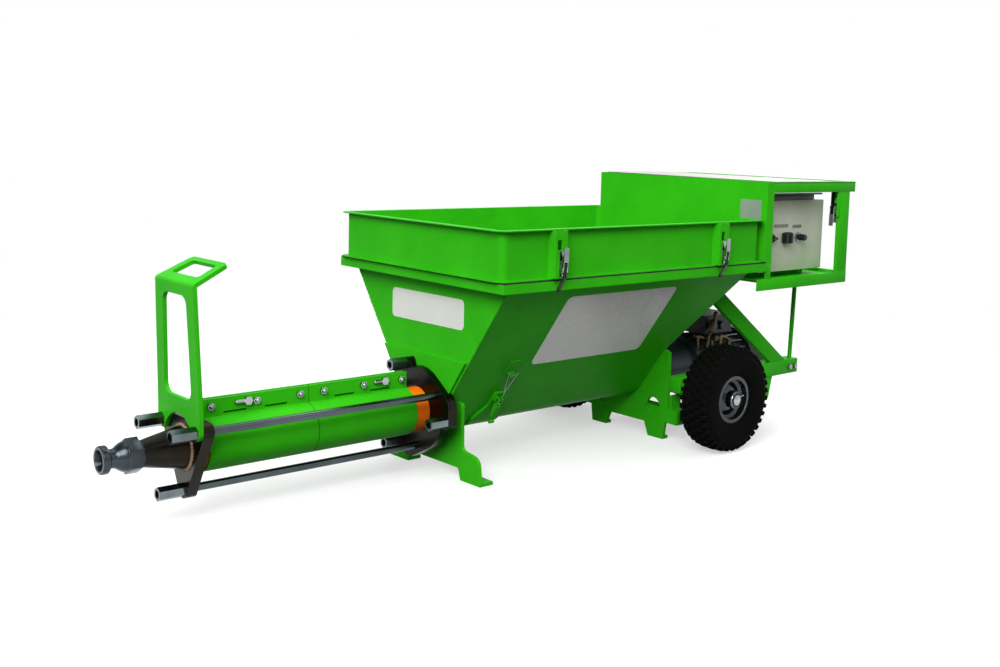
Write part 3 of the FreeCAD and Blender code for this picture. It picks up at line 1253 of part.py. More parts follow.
# the draw latches are drawn in their own frame: the surface that carries them is at y = 0,
# they face -y, the lever's pivot is at the height z = 0 and the strap runs down to its hook

def latch_base():
    half = d.latchHalf
    back = box(-half, -d.latchSheet, -d.latchBaseLow, 2 * half, d.latchSheet,
               d.latchBaseLow + d.latchBaseTop)
    inside = half - d.latchSheet
    window = box(-inside, -2 * d.latchSheet, -d.latchEye - 2, 2 * inside, 3 * d.latchSheet,
                 2 * (d.latchEye + 2))
    ears = []
    for x in (-half, half - d.latchSheet):
        ears.append(plate("YZ_Plane", [
            (0, -d.latchEye - 2), (0, d.latchEye + 2),
            (-d.latchPivotOut - d.latchEye + 1, d.latchEye - 1, d.latchPin),
            (-d.latchPivotOut - d.latchEye + 1, -d.latchEye + 1, d.latchPin)], d.latchSheet, x))
    pin = bar(ALONG_X, -half, -d.latchPivotOut, 0, d.latchPin, 2 * half)
    return fuse([cut(back, [window]), pin] + ears)


def latch_lever():
    outer = d.latchHalf - d.latchSheet - d.latchGap
    inner = outer - d.latchSheet
    web = d.latchPivotOut + d.webOut
    pieces = [plate("YZ_Plane", [
        (-web, d.webStart), (-web, d.latchLong - 8), (-web - 0.8, d.latchLong),
        (-web - 0.8 - d.latchSheet, d.latchLong), (-web - d.latchSheet, d.latchLong - 8),
        (-web - d.latchSheet, d.webStart)], 2 * outer, -outer)]
    for x in (-outer, inner):
        pieces.append(plate("YZ_Plane", [
            (-d.latchPivotOut + 3.5, -3.5, d.latchPin),
            (-d.latchPivotOut + 3.5, d.strapPivotUp), (-web + 1, d.latchLong - 14),
            (-web, d.latchLong - 14), (-web, d.strapPivotUp - 5), (-d.latchPivotOut - 4, -3.5)],
            d.latchSheet, x, [(-d.latchPivotOut, 0, d.latchPin + d.runningGap)]))
    pieces.append(bar(ALONG_X, -outer, -d.latchPivotOut - d.strapPivotOut, d.strapPivotUp,
                      d.strapPin, 2 * outer))
    return fuse(pieces)


def latch_strap(edge, hook):
    # edge: outer face of the hooked plate, hook: height of its lower edge
    half = d.latchHalf - 2 * d.latchSheet - 2 * d.latchGap
    run = -d.latchPivotOut - d.strapPivotOut
    out = run - d.strapThick / 2
    inside = run + d.strapThick / 2
    thick = d.strapThick
    face = edge - d.latchGap
    low = hook - d.latchGap
    knee = hook + 28
    strip = plate("YZ_Plane", [
        (inside, d.strapPivotUp), (inside, knee), (face, hook + 4), (face, low),
        (edge + d.sheet * 0.9, low), (edge + d.sheet * 0.9, low - thick),
        (face - thick, low - thick), (face - thick, hook + 3), (out, knee - 1),
        (out, d.strapPivotUp)], 2 * half, -half)
    eye = bar(ALONG_X, -half, run, d.strapPivotUp, d.strapEye, 2 * half)
    hole = bar(ALONG_X, -half - 1, run, d.strapPivotUp, d.strapPin + d.runningGap, 2 * half + 2)
    return cut(fuse([strip, eye]), [hole])


def latches():
    far = FreeCAD.Rotation(FreeCAD.Vector(0, 0, 1), 180)
    spots = {"front_left": (-d.latchFront, -d.postOut, d.latchHeight, UPRIGHT),
             "rear_left": (-d.latchRear, -d.postOut, d.latchHeight, UPRIGHT),
             "front_right": (-d.latchFront, d.postOut, d.latchHeight, far),
             "rear_right": (-d.latchRear, d.postOut, d.latchHeight, far)}
    skirt = d.postOut - rimHalf
    drop = skirtLow - d.latchHeight
    bases = []
    for name, (x, y, z, turn) in spots.items():
        bases.append(move(latch_base(), x, y, z, turn))
        node("latch_lever_" + name, latch_lever(), x, y, z, turn)
        node("latch_strap_" + name, latch_strap(skirt, drop), x, y, z, turn)
    side = FreeCAD.Rotation(FreeCAD.Vector(0, 0, 1), -90)
    turn = side.multiply(FreeCAD.Rotation(FreeCAD.Vector(0, 1, 0), 180))
    x = d.rearPostFront
    y = -d.panelHalf + d.rearPostDeep / 2
    drop_up = postLatchHeight - postLugTop
    bases.append(move(latch_base(), x, y, postLatchHeight, turn))
    bases.append(box(x - d.sheet, y - d.latchHalf, postLugTop - d.postLugHigh, d.sheet,
                     2 * d.latchHalf, d.postLugHigh))
    node("latch_lever_post", latch_lever(), x, y, postLatchHeight, turn)
    node("latch_strap_post", latch_strap(-d.sheet, drop_up), x, y, postLatchHeight, turn)
    node("latch_bases", group(bases))


def check_and_write():
    doc.recompute()
    faults = []
    for item in doc.Objects:
        if "Invalid" in item.State or "Error" in item.State:
            users = ", ".join(user.Label for user in item.InList)
            faults.append("%s, used by %s, has state %s" % (item.Name, users, item.State))
    for label, item in NODES.items():
        if item.Shape.isNull() or not item.Shape.isValid():
            faults.append("%s has no valid shape" % label)
    if faults:
        raise RuntimeError("\n".join(faults))
    os.makedirs("parts", exist_ok=True)
    for label, item in NODES.items():
        item.Shape.exportStep("parts/%s.step" % label)
    print("%d sub-parts written" % len(NODES))


hose_coupling()
discharge_cone()
rotor()
coupling_rod()
stator()
clamp_shells()
tie_rods()
long_nuts()
suction_flange()
lifting_handle()
hopper()
hopper_box()
hatch_cover()
hatch_catch()
hatch_lever()
hatch_bail()
supports()
chassis()
wheels()
agitator()
gear_motor()
drive_frame()
cabinet()
stay_rods()
frame_bolts()
latches()
check_and_write()
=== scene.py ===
import bpy
import bmesh
import json
import math
from mathutils import Matrix, Vector


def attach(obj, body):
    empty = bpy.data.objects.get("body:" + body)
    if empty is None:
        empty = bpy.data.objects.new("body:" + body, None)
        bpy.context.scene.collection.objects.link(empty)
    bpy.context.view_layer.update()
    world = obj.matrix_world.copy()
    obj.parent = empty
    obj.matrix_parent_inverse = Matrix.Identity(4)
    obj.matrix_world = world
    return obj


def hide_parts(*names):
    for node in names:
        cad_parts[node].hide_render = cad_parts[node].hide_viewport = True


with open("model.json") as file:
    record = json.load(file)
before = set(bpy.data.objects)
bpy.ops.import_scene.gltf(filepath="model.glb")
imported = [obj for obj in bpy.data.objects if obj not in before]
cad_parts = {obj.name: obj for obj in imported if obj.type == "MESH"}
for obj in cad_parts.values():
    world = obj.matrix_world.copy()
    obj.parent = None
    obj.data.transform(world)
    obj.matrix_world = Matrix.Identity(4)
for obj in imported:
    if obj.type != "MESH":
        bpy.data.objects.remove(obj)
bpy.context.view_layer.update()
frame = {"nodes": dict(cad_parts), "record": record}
print("frame loaded:", len(frame["nodes"]), "nodes")

# camera, in metres and degrees, its lens and sensor in millimetres
view = {"azimuth": -43.291, "elevation": 5.9754, "roll": 1.7922, "lens": 42.05, "sensor": 36,
        "place": (-1.7575, -2.066, 0.75656), "shiftX": -0.0698, "shiftY": -0.0751}


def placeCamera():
    azimuth, elevation, roll = (math.radians(view[k]) for k in ("azimuth", "elevation", "roll"))
    back = Vector((math.sin(azimuth) * math.cos(elevation),
                   -math.cos(azimuth) * math.cos(elevation), math.sin(elevation)))
    right = (-back).cross(Vector((0, 0, 1))).normalized()
    up = right.cross(-back)
    tiltedRight = right * math.cos(roll) + up * math.sin(roll)
    tiltedUp = up * math.cos(roll) - right * math.sin(roll)
    turn = Matrix((tiltedRight, tiltedUp, back)).transposed()
    bpy.ops.object.camera_add(location=view["place"], rotation=turn.to_euler())
    camera = bpy.context.object
    camera.data.lens = view["lens"]
    camera.data.sensor_width = view["sensor"]
    camera.data.shift_x = view["shiftX"]
    camera.data.shift_y = view["shiftY"]
    bpy.context.scene.camera = camera
    print("camera placed")


# every finish of the machine: colours are linear, sizes are in metres
finishes = {
    "green": {"colour": (0.038, 0.500, 0.008), "second": (0.031, 0.440, 0.007), "metal": 0.0,
              "rough": 0.38, "specular": 0.04, "grain": 420, "bump": 0.10,
              "edge": (0.075, 0.60, 0.03), "edgeWidth": 0.0011, "edgeAmount": 0.35},
    "orange": {"colour": (1.0, 0.22, 0.003), "second": (0.90, 0.16, 0.002), "metal": 0.0,
               "rough": 0.42, "specular": 0.3, "grain": 300, "bump": 0.12,
               "edge": (0.98, 0.25, 0.02), "edgeWidth": 0.001, "edgeAmount": 0.3},
    "zinc": {"colour": (0.20, 0.235, 0.25), "second": (0.09, 0.11, 0.12), "metal": 1.0,
             "rough": 0.22, "specular": 0.5, "grain": 900, "bump": 0.08,
             "edge": (0.66, 0.70, 0.70), "edgeWidth": 0.0005, "edgeAmount": 0.7},
    "chrome": {"colour": (0.34, 0.36, 0.37), "second": (0.20, 0.22, 0.23), "metal": 1.0,
               "rough": 0.13, "specular": 0.5, "grain": 900, "bump": 0.04,
               "edge": (0.8, 0.8, 0.8), "edgeWidth": 0.0005, "edgeAmount": 0.5},
    "rod": {"colour": (0.085, 0.105, 0.115), "second": (0.055, 0.070, 0.078), "metal": 1.0,
            "rough": 0.20, "specular": 0.5, "grain": 700, "bump": 0.05,
            "edge": (0.5, 0.53, 0.53), "edgeWidth": 0.0005, "edgeAmount": 0.3},
    "steel": {"colour": (0.019, 0.022, 0.021), "second": (0.017, 0.013, 0.008), "metal": 1.0,
              "rough": 0.27, "specular": 0.5, "grain": 700, "bump": 0.12,
              "edge": (0.16, 0.17, 0.17), "edgeWidth": 0.0007, "edgeAmount": 0.6},
    "dark_strap": {"colour": (0.020, 0.022, 0.023), "second": (0.010, 0.011, 0.012),
                   "metal": 0.9, "rough": 0.32, "specular": 0.5, "grain": 700, "bump": 0.06,
                   "edge": (0.25, 0.26, 0.26), "edgeWidth": 0.0005, "edgeAmount": 0.5},
    "turned": {"colour": (0.048, 0.060, 0.070), "second": (0.022, 0.027, 0.033), "metal": 1.0,
               "rough": 0.20, "specular": 0.5, "grain": 900, "bump": 0.05,
               "edge": (0.5, 0.5, 0.5), "edgeWidth": 0.0008, "edgeAmount": 0.6,
               "ring": (380, 0.12, (0.045, 0.045, 0.05))},
    "weld": {"colour": (0.10, 0.055, 0.022), "second": (0.28, 0.20, 0.12), "metal": 0.5,
             "rough": 0.50, "specular": 0.4, "grain": 500, "bump": 0.5,
             "edge": (0.30, 0.24, 0.16), "edgeWidth": 0.0005, "edgeAmount": 0.5},
    "dull_brass": {"colour": (0.13, 0.095, 0.050), "second": (0.07, 0.050, 0.026),
                   "metal": 0.8, "rough": 0.34, "specular": 0.5, "grain": 600, "bump": 0.08,
                   "edge": (0.42, 0.36, 0.25), "edgeWidth": 0.0005, "edgeAmount": 0.5},
    "strip": {"colour": (0.20, 0.20, 0.18), "second": (0.14, 0.14, 0.13), "metal": 0.4,
              "rough": 0.36, "specular": 0.5, "grain": 900, "bump": 0.04,
              "edge": (0.4, 0.4, 0.38), "edgeWidth": 0.0003, "edgeAmount": 0.4},
    "tan": {"colour": (0.16, 0.10, 0.045), "second": (0.11, 0.065, 0.03), "metal": 0.2,
            "rough": 0.40, "specular": 0.4, "grain": 600, "bump": 0.1,
            "edge": (0.30, 0.22, 0.12), "edgeWidth": 0.0006, "edgeAmount": 0.4},
    "stainless": {"colour": (0.56, 0.55, 0.52), "second": (0.47, 0.45, 0.42), "metal": 1.0,
                  "rough": 0.30, "specular": 0.5, "grain": 500, "bump": 0.04,
                  "edge": (0.7, 0.7, 0.68), "edgeWidth": 0.0006, "edgeAmount": 0.4},
    "screw_steel": {"colour": (0.60, 0.60, 0.60), "second": (0.46, 0.46, 0.47), "metal": 1.0,
                    "rough": 0.14, "specular": 0.5, "grain": 800, "bump": 0.02,
                    "edge": (0.7, 0.7, 0.7), "edgeWidth": 0.0006, "edgeAmount": 0.3},
    "cream": {"colour": (0.60, 0.62, 0.50), "second": (0.54, 0.56, 0.46), "metal": 0.0,
              "rough": 0.30, "specular": 0.3, "grain": 600, "bump": 0.05,
              "edge": (0.7, 0.7, 0.6), "edgeWidth": 0.0008, "edgeAmount": 0.3},
    "motor_blue": {"colour": (0.030, 0.040, 0.050), "second": (0.018, 0.024, 0.030),
                   "metal": 0.0, "rough": 0.42, "specular": 0.35, "grain": 350, "bump": 0.22,
                   "edge": (0.12, 0.13, 0.14), "edgeWidth": 0.0012, "edgeAmount": 0.4},
    # the tyre's lighter edge colour on the lugs is partly dust and partly a painted highlight
    "tyre": {"colour": (0.0020, 0.0026, 0.0020), "second": (0.0036, 0.0040, 0.0034),
             "metal": 0.0, "rough": 0.80, "specular": 0.03, "grain": 500, "bump": 0.25,
             "edge": (0.040, 0.038, 0.032), "edgeWidth": 0.0011, "edgeAmount": 0.6},
    # the rim's light edge colour is a painted highlight: bright thin rings on the edges of the
    # dark metal
    "rim": {"colour": (0.060, 0.066, 0.070), "second": (0.030, 0.034, 0.036), "metal": 1.0,
            "rough": 0.16, "specular": 0.5, "grain": 500, "bump": 0.04,
            "edge": (0.62, 0.64, 0.64), "edgeWidth": 0.0012, "edgeAmount": 0.9},
    "black_plastic": {"colour": (0.008, 0.008, 0.009), "second": (0.013, 0.013, 0.014),
                      "metal": 0.0, "rough": 0.36, "specular": 0.35, "grain": 900, "bump": 0.10,
                      "edge": (0.05, 0.05, 0.05), "edgeWidth": 0.0006, "edgeAmount": 0.4},
    "gasket": {"colour": (0.012, 0.012, 0.012), "second": (0.022, 0.021, 0.02), "metal": 0.0,
               "rough": 0.75, "specular": 0.2, "grain": 600, "bump": 0.2,
               "edge": (0.04, 0.04, 0.04), "edgeWidth": 0.0006, "edgeAmount": 0.3},
    "bronze": {"colour": (0.50, 0.28, 0.09), "second": (0.34, 0.17, 0.06), "metal": 1.0,
               "rough": 0.32, "specular": 0.5, "grain": 600, "bump": 0.08,
               "edge": (0.72, 0.48, 0.2), "edgeWidth": 0.0006, "edgeAmount": 0.5},
    "label": {"colour": (0.78, 0.79, 0.75), "second": (0.73, 0.74, 0.70), "metal": 0.0,
              "rough": 0.33, "specular": 0.3, "grain": 700, "bump": 0.03,
              "edge": (0.84, 0.84, 0.80), "edgeWidth": 0.0004, "edgeAmount": 0.2},
    # a brighter copy of the label white: painted light that lifts the side label out of the funnel
    # side's shade
    "label_painted_light": {"colour": (0.93, 0.94, 0.91), "second": (0.925, 0.935, 0.905), "metal": 0.0,
                  "rough": 0.26, "specular": 0.5, "grain": 700, "bump": 0.02,
                  "edge": (0.95, 0.95, 0.93), "edgeWidth": 0.0004, "edgeAmount": 0.2},
    "aluminium": {"colour": (0.42, 0.44, 0.43), "second": (0.34, 0.36, 0.35), "metal": 0.7,
                  "rough": 0.38, "specular": 0.5, "grain": 900, "bump": 0.04,
                  "edge": (0.75, 0.76, 0.75), "edgeWidth": 0.0004, "edgeAmount": 0.4},
}
# what all finishes share: colour drift, brighter edges (wear, and on the rim and the tyre's lugs
# also a painted highlight), spread of roughness, depth of bumps
surface = {"driftScale": 7.0, "driftDetail": 4.0, "driftRoughness": 0.6, "driftFrom": 0.38,
           "driftTo": 0.64, "fineDetail": 3.0, "bevelSamples": 4, "edgeFlat": 0.99,
           "edgeTurned": 0.80, "smoother": 0.06, "rougher": 0.09, "grainDepth": 0.0004,
           "rootFrom": 0.55, "rootTo": 0.0, "ringDepth": 0.0005}
madeFinishes = {}


def addNode(tree, kind, **values):
    node = tree.nodes.new(kind)
    for key, value in values.items():
        if hasattr(node, key):
            setattr(node, key, value)
        else:
            node.inputs[key].default_value = value
    return node


def remap(tree, value, low=0.0, high=1.0, toLow=0.0, toHigh=1.0, kind="LINEAR"):
    # a value from low to high becomes one from toLow to toHigh
    node = addNode(tree, "ShaderNodeMapRange", interpolation_type=kind)
    node.inputs["From Min"].default_value = low
    node.inputs["From Max"].default_value = high
    node.inputs["To Min"].default_value = toLow
    node.inputs["To Max"].default_value = toHigh
    tree.links.new(value, node.inputs["Value"])
    return node.outputs["Result"]


def makeFinish(name):
    # large soft colour drift, fine grain in roughness and bump, brighter edges: worn, and on the
    # rim and the tyre's lugs also a painted highlight
    values = finishes[name]
    material = bpy.data.materials.new("finish_" + name)
    material.use_nodes = True
    tree = material.node_tree
    shader = tree.nodes["Principled BSDF"]
    place = addNode(tree, "ShaderNodeTexCoord").outputs["Object"]
    drift = addNode(tree, "ShaderNodeTexNoise", Scale=surface["driftScale"],
                    Detail=surface["driftDetail"], Roughness=surface["driftRoughness"])
    fine = addNode(tree, "ShaderNodeTexNoise", Scale=float(values["grain"]),
                   Detail=surface["fineDetail"])
    tree.links.new(place, drift.inputs["Vector"])
    tree.links.new(place, fine.inputs["Vector"])
    body = addNode(tree, "ShaderNodeMix", data_type="RGBA")
    body.inputs["A"].default_value = (*values["colour"], 1)
    body.inputs["B"].default_value = (*values["second"], 1)
    spread = remap(tree, drift.outputs["Fac"], surface["driftFrom"], surface["driftTo"])
    tree.links.new(spread, body.inputs["Factor"])
    rounded = addNode(tree, "ShaderNodeBevel", samples=surface["bevelSamples"],
                      Radius=values["edgeWidth"])
    flat = addNode(tree, "ShaderNodeNewGeometry")
    turn = addNode(tree, "ShaderNodeVectorMath", operation="DOT_PRODUCT")
    tree.links.new(rounded.outputs["Normal"], turn.inputs[0])
    tree.links.new(flat.outputs["Normal"], turn.inputs[1])
    # edge mask: the edge colour is wear on most finishes and a painted highlight on the rim and
    # the tyre's lugs
    wearAndHighlight = remap(tree, turn.outputs["Value"], surface["edgeFlat"], surface["edgeTurned"],
                 toHigh=values["edgeAmount"])
    broken = addNode(tree, "ShaderNodeMath", operation="MULTIPLY")
    tree.links.new(wearAndHighlight, broken.inputs[0])
    tree.links.new(drift.outputs["Fac"], broken.inputs[1])
    mixed = addNode(tree, "ShaderNodeMix", data_type="RGBA")
    mixed.inputs["B"].default_value = (*values["edge"], 1)
    tree.links.new(broken.outputs["Value"], mixed.inputs["Factor"])
    tree.links.new(body.outputs["Result"], mixed.inputs["A"])
    tree.links.new(mixed.outputs["Result"], shader.inputs["Base Color"])
    gloss = remap(tree, drift.outputs["Fac"], toLow=values["rough"] - surface["smoother"],
                  toHigh=values["rough"] + surface["rougher"])
    tree.links.new(gloss, shader.inputs["Roughness"])
    bump = addNode(tree, "ShaderNodeBump", Strength=values["bump"],
                   Distance=surface["grainDepth"])
    tree.links.new(fine.outputs["Fac"], bump.inputs["Height"])
    tree.links.new(rounded.outputs["Normal"], bump.inputs["Normal"])
    tree.links.new(bump.outputs["Normal"], shader.inputs["Normal"])
    shader.inputs["Metallic"].default_value = values["metal"]
    shader.inputs["Specular IOR Level"].default_value = values["specular"]
    if "ring" in values:
        addRings(tree, place, mixed, bump, shader, values["ring"])
    return material


def addRings(tree, place, colour, bump, shader, ring):
    # turning marks: fine rings along X, darker in their roots
    scale, depth, dark = ring
    wave = addNode(tree, "ShaderNodeTexWave", Scale=float(scale))
    tree.links.new(place, wave.inputs["Vector"])
    root = remap(tree, wave.outputs["Fac"], surface["rootFrom"], surface["rootTo"], toHigh=depth)
    tone = addNode(tree, "ShaderNodeMix", data_type="RGBA")
    tone.inputs["B"].default_value = (*dark, 1)
    tree.links.new(root, tone.inputs["Factor"])
    tree.links.new(colour.outputs["Result"], tone.inputs["A"])
    tree.links.new(tone.outputs["Result"], shader.inputs["Base Color"])
    groove = addNode(tree, "ShaderNodeBump", Strength=depth, Distance=surface["ringDepth"])
    tree.links.new(wave.outputs["Fac"], groove.inputs["Height"])
    tree.links.new(bump.outputs["Normal"], groove.inputs["Normal"])
    tree.links.new(groove.outputs["Normal"], shader.inputs["Normal"])


def finish(name):
    if name not in madeFinishes:
        madeFinishes[name] = makeFinish(name)
    return madeFinishes[name]


def dressFrame():
    # the CAD nodes that stay in view take their finish from their slot in the record
    slots = {part["node"]: part["material_slot"] for part in frame["record"]["subparts"]}
    for name, node in frame["nodes"].items():
        node.data.materials.clear()
        node.data.materials.append(finish(nodeFinish.get(name, slots[name])))
    print("finishes on", len(frame["nodes"]), "nodes")


# nodes whose finish differs from their slot
nodeFinish = {"tie_rods": "rod", "trough_flange": "steel", "clamp_bolts": "chrome",
              "latch_bases": "chrome", "frame_bolts": "chrome"}
for latch in ("front_left", "rear_left", "front_right", "rear_right", "post"):
    nodeFinish["latch_lever_" + latch] = "chrome"
    nodeFinish["latch_strap_" + latch] = "dark_strap"

# lamps: place, size in metres, power in watts
lamps = {
    "key": {"place": (-4.3, -2.9, 4.3), "size": 4.0, "power": 430},
    "fill": {"place": (2.0, -4.4, 5.0), "size": 4.0, "power": 60},
    "top": {"place": (0.6, 1.6, 5.6), "size": 5.0, "power": 110},
    "rim": {"place": (4.2, 1.0, 4.4), "size": 4.0, "power": 190},
}
# the point that all lamps face
lampAim = (0, 0, 0.3)
# the surround: what the sky lights with and what is seen of it, and the floor's tones. The
# floor fades to white between clearFrom and clearTo metres, and the seen sky darkens between
# bandFrom and bandTo, which are heights of a direction of length 1
surround = {"white": 1.0, "skyTop": 0.62, "skyEdge": 0.20, "floorSeen": 0.56, "floorLift": 0.50,
            "floorLit": 0.09, "floorSize": 60.0, "clearFrom": 1.3, "clearTo": 2.6,
            "bandFrom": 0.34, "bandTo": 0.60, "aboveBand": 0.35}


def seenRays(tree):
    # 1 for what the camera sees directly, in metal or through glass
    rays = addNode(tree, "ShaderNodeLightPath")
    first = addNode(tree, "ShaderNodeMath", operation="MAXIMUM")
    both = addNode(tree, "ShaderNodeMath", operation="MAXIMUM")
    tree.links.new(rays.outputs["Is Camera Ray"], first.inputs[0])
    tree.links.new(rays.outputs["Is Glossy Ray"], first.inputs[1])
    tree.links.new(first.outputs["Value"], both.inputs[0])
    tree.links.new(rays.outputs["Is Transmission Ray"], both.inputs[1])
    return both.outputs["Value"]


def makeWorld():
    world = bpy.data.worlds.new("studio")
    bpy.context.scene.world = world
    world.use_nodes = True
    tree = world.node_tree
    tree.nodes.clear()
    out = addNode(tree, "ShaderNodeOutputWorld")
    light = addNode(tree, "ShaderNodeBackground", Color=(1, 1, 1, 1))
    seen = addNode(tree, "ShaderNodeBackground", Color=(1, 1, 1, 1), Strength=surround["white"])
    height = addNode(tree, "ShaderNodeSeparateXYZ")
    direction = addNode(tree, "ShaderNodeTexCoord").outputs["Generated"]
    tree.links.new(direction, height.inputs["Vector"])
    level = remap(tree, height.outputs["Z"], toLow=surround["skyEdge"], toHigh=surround["skyTop"])
    tree.links.new(level, light.inputs["Strength"])
    band = remap(tree, height.outputs["Z"], surround["bandFrom"], surround["bandTo"],
                 surround["white"], surround["aboveBand"])
    tree.links.new(band, seen.inputs["Strength"])
    mix = addNode(tree, "ShaderNodeMixShader")
    tree.links.new(seenRays(tree), mix.inputs["Fac"])
    tree.links.new(light.outputs["Background"], mix.inputs[1])
    tree.links.new(seen.outputs["Background"], mix.inputs[2])
    tree.links.new(mix.outputs["Shader"], out.inputs["Surface"])


def makeFloor():
    # pale floor with the machine's soft shadow, plain white further out
    clearSelection()
    bpy.ops.mesh.primitive_plane_add(size=surround["floorSize"], location=(0, 0, 0))
    floor = bpy.context.object
    floor.name = "studio_floor"
    material = bpy.data.materials.new("pale_floor")
    material.use_nodes = True
    tree = material.node_tree
    tree.nodes.clear()
    out = addNode(tree, "ShaderNodeOutputMaterial")
    lit = addNode(tree, "ShaderNodeBsdfDiffuse", Color=(*[surround["floorLit"]] * 3, 1))
    pale = addNode(tree, "ShaderNodeBsdfDiffuse", Color=(*[surround["floorSeen"]] * 3, 1))
    lift = addNode(tree, "ShaderNodeEmission", Strength=surround["floorLift"])
    near = addNode(tree, "ShaderNodeAddShader")
    tree.links.new(pale.outputs["BSDF"], near.inputs[0])
    tree.links.new(lift.outputs["Emission"], near.inputs[1])
    white = addNode(tree, "ShaderNodeEmission", Strength=surround["white"])
    away = addNode(tree, "ShaderNodeVectorMath", operation="LENGTH")
    tree.links.new(addNode(tree, "ShaderNodeTexCoord").outputs["Object"], away.inputs[0])
    fade = remap(tree, away.outputs["Value"], surround["clearFrom"], surround["clearTo"],
                 kind="SMOOTHSTEP")
    seen = addNode(tree, "ShaderNodeMixShader")
    tree.links.new(fade, seen.inputs["Fac"])
    tree.links.new(near.outputs["Shader"], seen.inputs[1])
    tree.links.new(white.outputs["Emission"], seen.inputs[2])
    mix = addNode(tree, "ShaderNodeMixShader")
    tree.links.new(seenRays(tree), mix.inputs["Fac"])
    tree.links.new(lit.outputs["BSDF"], mix.inputs[1])
    tree.links.new(seen.outputs["Shader"], mix.inputs[2])
    tree.links.new(mix.outputs["Shader"], out.inputs["Surface"])
    floor.data.materials.append(material)


def makeLamps():
    for name, values in lamps.items():
        place = Vector(values["place"])
        turn = (Vector(lampAim) - place).to_track_quat("-Z", "Y")
        bpy.ops.object.light_add(type="AREA", location=place, rotation=turn.to_euler())
        lamp = bpy.context.object
        lamp.name = "lamp_" + name
        lamp.data.size = values["size"]
        lamp.data.energy = values["power"]
    print("lamps and floor made")


def clearSelection():
    bpy.ops.object.select_all(action="DESELECT")


def activate(obj):
    clearSelection()
    obj.select_set(True)
    bpy.context.view_layer.objects.active = obj


def settle(obj):
    # place, turn and size go into the mesh, so the object sits at the origin
    activate(obj)
    bpy.ops.object.transform_apply(location=True, rotation=True, scale=True)


def applyModifiers(obj):
    activate(obj)
    for modifier in list(obj.modifiers):
        bpy.ops.object.modifier_apply(modifier=modifier.name)


def soften(obj, width, segments=2, limit=30):
    # rounds the edges that turn by more than the limit, in degrees
    bevel = obj.modifiers.new("soft", "BEVEL")
    bevel.width = width
    bevel.segments = segments
    bevel.angle_limit = math.radians(limit)
    applyModifiers(obj)


def pick(obj, test, kind="FACE"):
    # selects faces or edges by their place, in edit mode
    bpy.ops.mesh.select_mode(type=kind)
    bpy.ops.mesh.select_all(action="DESELECT")
    mesh = bmesh.from_edit_mesh(obj.data)
    for item in {"FACE": mesh.faces, "EDGE": mesh.edges}[kind]:
        if test(item):
            item.select_set(True)
    mesh.select_flush_mode()
    bmesh.update_edit_mesh(obj.data)


def copyPiece(obj):
    activate(obj)
    bpy.ops.object.duplicate(linked=False)
    return bpy.context.object


def joinPieces(pieces):
    clearSelection()
    for piece in pieces:
        piece.select_set(True)
    bpy.context.view_layer.objects.active = pieces[0]
    if len(pieces) > 1:
        bpy.ops.object.join()
    return bpy.context.object


def showPiece(obj, name, finishName, body, smooth=35):
    # last touches: name, shading up to the smooth angle, finish and body
    obj.name = name
    settle(obj)
    bpy.ops.object.shade_smooth_by_angle(angle=math.radians(smooth))
    obj.data.materials.clear()
    obj.data.materials.append(finish(finishName))
    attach(obj, body)


def spinSection(section, centre, axis, steps):
    # a closed section turned round a level axis, given as (along the axis, away from it)
    clearSelection()
    bpy.ops.mesh.primitive_circle_add(vertices=len(section), radius=1)
    obj = bpy.context.object
    along = Vector(axis)
    away = Vector((0, 0, 1))
    bpy.ops.object.mode_set(mode="EDIT")
    mesh = bmesh.from_edit_mesh(obj.data)
    for vertex, (u, v) in zip(mesh.verts, section):
        vertex.co = Vector(centre) + along * u + away * v
    bmesh.update_edit_mesh(obj.data)
    bpy.ops.mesh.select_all(action="SELECT")
    bpy.ops.mesh.spin(steps=steps, angle=2 * math.pi, center=centre, axis=axis)
    bpy.ops.mesh.select_all(action="SELECT")
    bpy.ops.mesh.remove_doubles(threshold=mergeDistance)
    bpy.ops.mesh.normals_make_consistent(inside=False)
    bpy.ops.object.mode_set(mode="OBJECT")
    return obj


# points of a turned section closer than this become one
mergeDistance = 0.00001

# tyre: sections and rows give (across from the wheel's middle plane, out from the axle), rows
# also the tilt in degrees and the shift in blocks. From the shoulder's tilt a block is lugWide
tyre = {"centre": (0.4605, -0.281, 0.130), "across": 0.562,
        "section": [(0.0265, 0.0534), (0.0266, 0.0588), (0.0315, 0.0590), (0.0345, 0.0620),
                    (0.0352, 0.0660), (0.0372, 0.0668), (0.0376, 0.0682), (0.0390, 0.0740),
                    (0.0412, 0.0840), (0.0420, 0.0935), (0.0414, 0.1020), (0.0418, 0.1030),
                    (0.0414, 0.1042), (0.0398, 0.1105), (0.0366, 0.1165), (0.0310, 0.1205),
                    (0.0180, 0.1234), (0.0, 0.1240)],
        "rows": [(0.0, 0.1246, 0.0, 0.0), (0.0185, 0.1240, 4.0, 0.5), (0.0330, 0.1198, 40.0, 0.0)],
        "count": 38, "long": 0.0118, "wide": 0.0135, "high": 0.0080, "sink": 0.0028,
        "lugWide": 0.0150, "shoulder": 30, "top": (0.8, 0.78, 1), "edge": 0.0009, "steps": 88}


